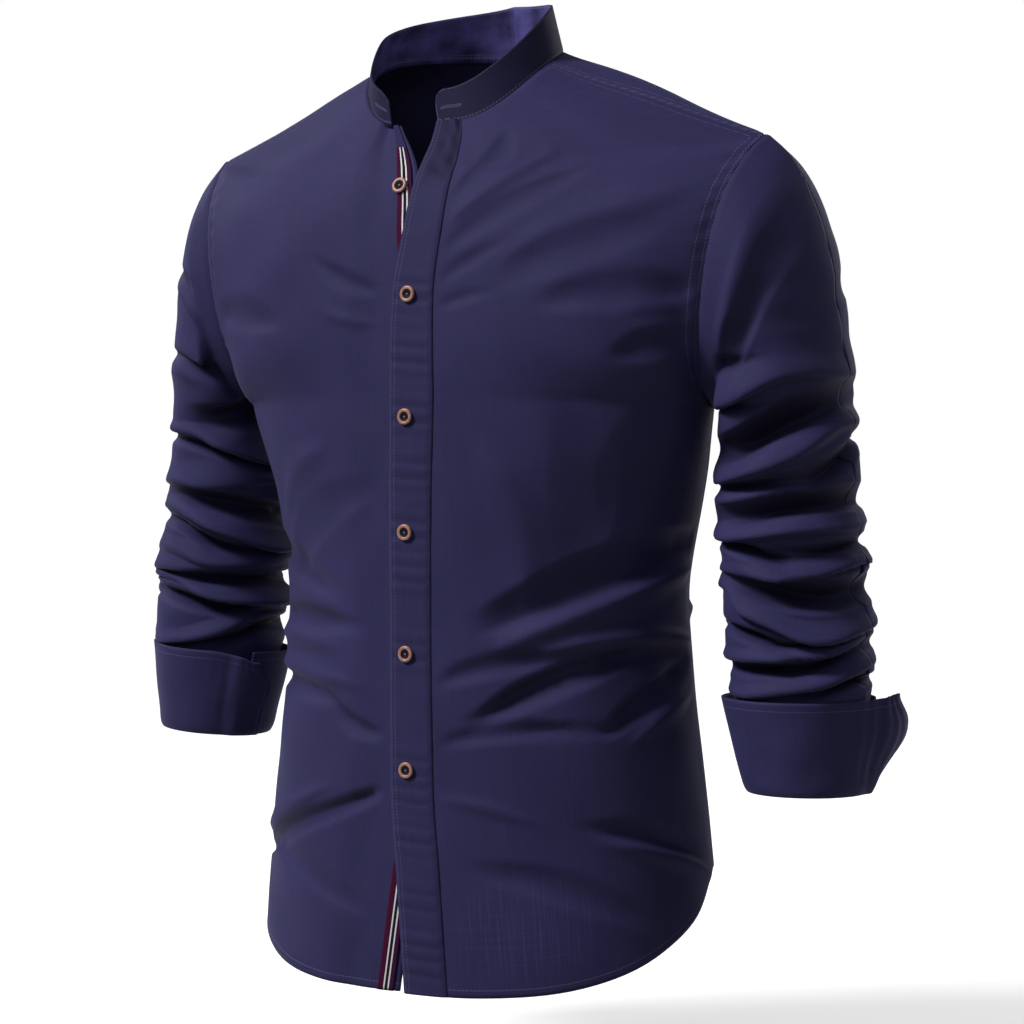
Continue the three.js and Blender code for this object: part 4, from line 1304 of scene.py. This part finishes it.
@dataclass
class Arm:
    """A sleeve and its turned-back cuff.

    Args:
        side: which arm.
        cuff_start: where the cuff's under end lies, in degrees round the arm.
        way: 1 where the cuff goes round from front to back outside, else -1.
        flare: how far the free end of the cuff stands away, in millimetres.
        lift: how far the corner of that end rises.
        tilt: how much the cuff's outer side is higher than its inner side.
        gather: the height of the small gathers by the end.
    """

    side: Side
    cuff_start: float
    way: int
    flare: float
    lift: float
    tilt: float
    gather: float

    @property
    def word(self) -> str:
        """Returns the side in words."""
        return self.side.name.lower()

    def sleeve(self) -> bpy.types.Object:
        """Makes the sleeve and returns it."""
        upper, lower = np.linspace(0, 0.3, 70)[:-1], np.linspace(0.3, 0.97, 225)
        along = np.concatenate([upper, lower, [0.98, 0.99, 1.0]])
        angle, w = grid_of(np.linspace(360, 0, 157), along)
        points, depth = sleeve_points(self.side, angle, w)
        flat = np.stack([angle * 0.98, w * -470], axis=-1)
        rims = np.stack([w * 330, np.minimum(np.abs(angle - 285), 60) * 0.95, angle + w * 470], axis=-1)
        if self.side is Side.RIGHT:
            points, flat, rims, depth = mirrored(points), flat[::-1], rims[::-1], depth[::-1]
        piece = Cloth(points, flat, rims, depth, True).build(f"cloth_sleeve_{self.word}", WALL)
        finish = NavyCloth("navy_sleeve", (), (2.0,))
        finish_piece(piece, finish.make(), "navy_cotton", f"sleeve_{self.word}")
        return piece

    def cuff(self) -> bpy.types.Object:
        """Makes the turned-back cuff and returns it."""
        turn, p = grid_of(np.linspace(CUFF_TURN, 0, 210), np.linspace(0, 1, 52))
        outside = smooth((p - 0.36) / 0.2)
        open_share = smooth((p - 0.34) / 0.45) * (1 - 0.4 * smooth((p - 0.8) / 0.2))
        flap = self.flare * np.clip((turn - CUFF_FREE) / (CUFF_TURN - CUFF_FREE), 0, 1) ** 2 * open_share
        overlap = CUFF_STEP * smooth((turn - 338) / 14)
        waves = np.sin(turn * 0.55 + 2 * np.sin(p * 4))
        gathers = np.exp(-(((turn - 350) / 26) ** 2)) * outside * self.gather * waves
        crumple = ripple(turn * 0.9, p * CUFF_CLOTH, 51 + self.side.value, 60, 0.7) * smooth((p - 0.3) / 0.2)
        radius = CUFF_PROFILE.read("radius", p) + flap + overlap + gathers + crumple
        end = smooth((turn - 322) / 56) * smooth((p - 0.5) / 0.5)
        z = CUFF_PROFILE.read("z", p) + self.lift * end
        cut = CUFF_CORNER * smooth((turn - 346) / 32) * smooth((p - 0.78) / 0.22)
        angle = np.radians(self.cuff_start + self.way * (turn - cut))
        lean = (z + 505) * -0.1
        x = 261 + lean + radius * 1.02 * np.cos(angle) + ARM_OUT[self.side]
        points = np.stack([x, 16 - radius * np.sin(angle), z + ARM_RISE[self.side]], axis=-1)
        points[..., 2] += self.tilt * (points[..., 0] - 261)
        flat = np.stack([turn * 0.93, p * CUFF_CLOTH], axis=-1)
        end_rim = np.minimum(turn, CUFF_TURN - turn) * 0.9
        rims = np.stack([(1 - p) * 112, end_rim, turn * 0.9 + p * CUFF_CLOTH], axis=-1)
        if self.side is Side.RIGHT:
            points = points * np.array([-1.0, 1.0, 1.0])
        if self.side.value * self.way < 0:
            points, flat, rims = points[::-1], flat[::-1], rims[::-1]
        piece = Cloth(points, flat, rims).build(f"cloth_cuff_{self.word}", BAND_WALL)
        finish = NavyCloth("navy_cuff", (6.0,), (5.0,))
        finish_piece(piece, finish.make(), "navy_cotton", f"cuff_{self.word}")
        return piece

    def build(self) -> None:
        """Makes both pieces of the arm."""
        self.sleeve()
        self.cuff()


@dataclass
class Collar:
    """The standing band round the neck.

    Args:
        share: the part of each half that belongs to its front.
        half_length: the length of each half, in millimetres.
        band: the mean height of the band.
    """

    share: float = 0.42
    half_length: float = 190.0
    band: float = 36.0

    def seam(self, k: np.ndarray) -> np.ndarray:
        """Points of the neck seam.

        Args:
            k: 0 at the left end, 1 at the middle of the back, 2 at the right end.

        Returns:
            The points, in millimetres.
        """
        right = k > 1
        m = np.where(right, 2 - k, k)
        z = np.full_like(k, -53.0)
        shift = np.where(right, -OPENING.read("right", z), OPENING.read("left", z))
        one = np.ones_like(k)
        front = panel_points(FRONT_ROWS, one, np.minimum(m / self.share, 0.9999), shift, False)
        inward = np.minimum(1 - (m - self.share) / (1 - self.share), 0.9999)
        back = panel_points(BACK_ROWS, one, inward, 0 * one, True)
        points = np.where((m < self.share)[..., None], front, back)
        points[..., 0] *= np.where(right, -1, 1)
        return points

    def build(self) -> bpy.types.Object:
        """Makes the collar and returns it."""
        first = -COLLAR_REACH * self.share / PANEL_ARC
        ks = np.concatenate([np.linspace(first, 0.006, 12)[:-1], np.linspace(0.006, 1.994, 300)])
        k, h = grid_of(ks, np.linspace(0, 1, 24))
        m = np.where(k > 1, 2 - k, k)
        base = self.seam(k)
        reach = np.where(k > 1, 0.0, COLLAR_REACH)
        from_end = reach + np.where(m < 0, -reach * m / first, m * self.half_length)
        inside = np.clip(COLLAR_CORNER - from_end, 0, COLLAR_CORNER)
        cut = COLLAR_CORNER - np.sqrt(COLLAR_CORNER**2 - inside**2)
        inward = base * np.array([-1.0, -1.0, 0.0])
        inward /= np.linalg.norm(inward, axis=-1, keepdims=True)
        droop = np.where(k > 1, 7 * np.sin(math.pi * m) * h, 0)
        height = COLLAR_HEIGHT.read("height", m)
        lean = COLLAR_HEIGHT.read("lean", m)
        wave = ripple(k * self.half_length, h * 30, 61, 70, 0.6) * h
        points = base + inward * (0.5 + lean * h + wave)[..., None]
        points[..., 2] += 0.9 + (height - cut) * h - droop - 3.4 * (1 - smooth(h / 0.05))
        flat = np.stack([from_end, h * self.band], axis=-1)
        edge = np.minimum((1 - h) * self.band, from_end)
        rims = np.stack([edge, h * self.band, k * self.half_length], axis=-1)
        piece = Cloth(neck_shift(points), flat, rims).build("cloth_collar", BAND_WALL)
        # the outer face is dyed at half lightness: painted shade, where the band faces away from the main
        # light
        outside = NavyCloth("navy_collar", (1.0,), (1.4,), 0.5, 0.35, 0.6, 0.35, (13.5, 15.0, 7.0))
        finish_piece(piece, outside.make(), "navy_cotton", "collar")
        piece.data.materials.append(NavyCloth("navy_inside", (1.4,), (1.6, 3.6), 2.2, 0.7, 1.0, 0.9).make())
        piece.modifiers["cloth"].material_offset = 1
        return piece


@dataclass
class Buttons:
    """The round buttons on the placket and the one on the tape.

    Args:
        radius: the radius of a button, in millimetres; not used.
        lift: how far its back is from the cloth's outer face.
    """

    radius: float = 6.2
    lift: float = 2 * SEAM_GAP + TRIM_WALL + 0.15
    profile: tuple[tuple[float, float], ...] = (
        (0.0, 0.0), (5.2, 0.0), (5.9, 0.5), (6.2, 1.1), (6.15, 1.8), (5.75, 2.35), (5.0, 2.6),
        (4.1, 2.5), (3.6, 2.05), (3.3, 1.65), (0.0, 1.5),
    )
    parts: tuple[ButtonPart, ...] = field(default_factory=lambda: tuple(ButtonPart))

    def seat(self, side: Side, height: float) -> Matrix:
        """The place of a button.

        Args:
            side: the front it is on.
            height: its height, in millimetres.

        Returns:
            The matrix that puts it there.
        """
        v = float(np.interp(height, FRONT_ROWS.column("z0"), FRONT_ROWS.column("v")))
        for _ in range(6):
            error = height - float(FRONT_ROWS.read("z0", np.array(v)))
            v += error / 760.0
        c, vs = grid_of(np.array([-6.0, 0.0, 6.0]), np.array([v - 0.01, v, v + 0.01]))
        points, _ = front_points(side, c, vs, self.lift, 0.0)
        normal = Vector(normals_of(points)[1, 1])
        place = Vector(points[1, 1])
        if side is Side.RIGHT:
            normal.x, place.x = -normal.x, -place.x
        place = Vector(neck_shift(np.array(place)))
        turn = normal.to_track_quat("Z", "Y").to_matrix().to_4x4()
        return Matrix.Translation(place * MM) @ turn

    def build_one(self, name: str, side: Side, height: float) -> bpy.types.Object:
        """Makes one button.

        Args:
            name: the solid it stands for.
            side: the front it is on.
            height: its height, in millimetres.

        Returns:
            The object.
        """
        bm = bmesh.new()
        chain = [bm.verts.new((x * MM, 0, z * MM)) for x, z in self.profile]
        edges = [bm.edges.new(pair) for pair in zip(chain, chain[1:])]
        bmesh.ops.spin(bm, geom=chain + edges, axis=(0, 0, 1), cent=(0, 0, 0), angle=math.tau, steps=40)
        bmesh.ops.remove_doubles(bm, verts=bm.verts, dist=1e-6)
        bmesh.ops.recalc_face_normals(bm, faces=bm.faces)
        for face in bm.faces:
            face.smooth = True
            middle = face.calc_center_median()
            face.material_index = 1 if math.hypot(middle.x, middle.y) < 3.7 * MM and middle.z > MM else 0
        for turn in (math.radians(45), math.radians(135)):
            made = bmesh.ops.create_cube(bm, size=1.0)["verts"]
            bmesh.ops.scale(bm, verts=made, vec=(1.1 * MM, 0.5 * MM, 0.4 * MM))
            bmesh.ops.rotate(bm, verts=made, cent=(0, 0, 0), matrix=Matrix.Rotation(turn, 3, "Z"))
            bmesh.ops.translate(bm, verts=made, vec=(0, 0, 1.75 * MM))
            for face in {f for v in made for f in v.link_faces}:
                face.material_index = 2
        bmesh.ops.transform(bm, matrix=self.seat(side, height), verts=bm.verts)
        mesh = bpy.data.meshes.new(f"round_{name}")
        bm.to_mesh(mesh)
        bm.free()
        piece = bpy.data.objects.new(f"round_{name}", mesh)
        bpy.context.scene.collection.objects.link(piece)
        for part in self.parts:
            piece.data.materials.append(ButtonFinish(part).make())
        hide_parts(name)
        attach(piece, "root")
        return piece

    def build(self) -> None:
        """Makes all the buttons."""
        self.build_one("button_neck", Side.RIGHT, NECK_BUTTON_HEIGHT)
        for index, height in enumerate(BUTTON_HEIGHTS):
            self.build_one(f"button_{index + 1}", Side.LEFT, height)
        log.info("buttons: %d", len(BUTTON_HEIGHTS) + 1)


# Stage.


@dataclass
class Studio:
    """The pale floor, the soft lights and the camera.

    Args:
        azimuth: the camera's turn round the shirt, in degrees.
        distance: how far it is from the middle of the neck, in metres.
        fill: how much the pale room lights the shirt.
        key: how strong the main light is.
    """

    azimuth: float = 30.0
    distance: float = 2.30
    fill: float = 0.05
    key: float = 2.65

    def floor(self) -> None:
        """Makes the pale floor below the hem."""
        bm = bmesh.new()
        bmesh.ops.create_grid(bm, x_segments=1, y_segments=1, size=9.0)
        bmesh.ops.translate(bm, verts=bm.verts, vec=(0, 0, -0.80))
        mesh = bpy.data.meshes.new("floor")
        bm.to_mesh(mesh)
        bm.free()
        piece = bpy.data.objects.new("floor", mesh)
        bpy.context.scene.collection.objects.link(piece)
        n = Nodes("pale_floor")
        n.shader.inputs["Base Color"].default_value = (0.86, 0.86, 0.86, 1.0)
        n.shader.inputs["Roughness"].default_value = 0.9
        n.shader.inputs["Emission Color"].default_value = (1.0, 1.0, 1.0, 1.0)
        n.shader.inputs["Emission Strength"].default_value = 0.52
        piece.data.materials.append(n.material)
        piece.visible_diffuse = False

    def sun(self) -> None:
        """Adds the main light, high on the wearer's right, wide enough to be soft."""
        data = bpy.data.lights.new("key", "SUN")
        data.energy, data.angle = self.key, math.radians(16)
        lamp = bpy.data.objects.new("key", data)
        lamp.rotation_euler = Vector((0.50, 0.62, -0.74)).to_track_quat("-Z", "Y").to_euler()
        bpy.context.scene.collection.objects.link(lamp)

    def light(self, name: str, place: tuple[float, float, float], size: float, watts: float) -> None:
        """Adds a soft square light aimed at the chest.

        Args:
            name: its name.
            place: where it stands, in metres.
            size: its side.
            watts: its power.
        """
        data = bpy.data.lights.new(name, "AREA")
        data.size, data.energy = size, watts
        lamp = bpy.data.objects.new(name, data)
        lamp.location = place
        lamp.rotation_euler = (Vector((0, 0, -0.33)) - Vector(place)).to_track_quat("-Z", "Y").to_euler()
        bpy.context.scene.collection.objects.link(lamp)

    def camera(self) -> None:
        """Sets the camera where the picture was taken from."""
        data = bpy.data.cameras.new("camera")
        data.lens, data.sensor_width = 103.7, 36.0
        data.clip_start, data.clip_end = 0.05, 60.0
        turn = math.radians(self.azimuth)
        camera = bpy.data.objects.new("camera", data)
        camera.location = (self.distance * math.sin(turn), -self.distance * math.cos(turn), -0.271)
        aim = Vector((0.0169, 0.0098, -0.3506))
        camera.rotation_euler = (aim - camera.location).to_track_quat("-Z", "Y").to_euler()
        bpy.context.scene.collection.objects.link(camera)
        bpy.context.scene.camera = camera

    def build(self) -> None:
        """Makes the whole stage."""
        self.floor()
        self.sun()
        self.light("window", (-0.75, -1.35, 0.75), 0.35, 6.0)
        self.light("front", (1.2, -2.4, 0.7), 1.2, 7.0)
        self.light("edge_right", (1.8, 0.6, 0.9), 0.8, 5.0)
        self.light("edge_left", (-1.9, 0.5, 0.6), 0.8, 7.0)
        self.light("behind", (0.5, 2.6, 0.7), 1.4, 14.0)
        world = bpy.data.worlds.new("pale_room")
        world.use_nodes = True
        tree = world.node_tree
        ray = tree.nodes.new("ShaderNodeLightPath").outputs["Is Camera Ray"]
        level = tree.nodes.new("ShaderNodeMapRange")
        level.inputs["To Min"].default_value = self.fill
        level.inputs["To Max"].default_value = 1.0
        tree.links.new(ray, level.inputs["Value"])
        tree.nodes["Background"].inputs[0].default_value = (1.0, 1.0, 1.0, 1.0)
        tree.links.new(level.outputs[0], tree.nodes["Background"].inputs[1])
        bpy.context.scene.world = world
        bpy.context.scene.view_settings.view_transform = "Standard"
        self.camera()


def main() -> None:
    """Builds the shirt and its stage."""
    logging.basicConfig(level=logging.INFO, format="%(message)s")
    Body().build()
    Arm(Side.LEFT, 338.0, -1, 25.0, 3.0, 0.0, 0.55).build()
    Arm(Side.RIGHT, 150.0, 1, 4.0, -8.0, 0.07, 0.14).build()
    Collar().build()
    Buttons().build()
    Studio().build()


if __name__ == "__main__":
    main()
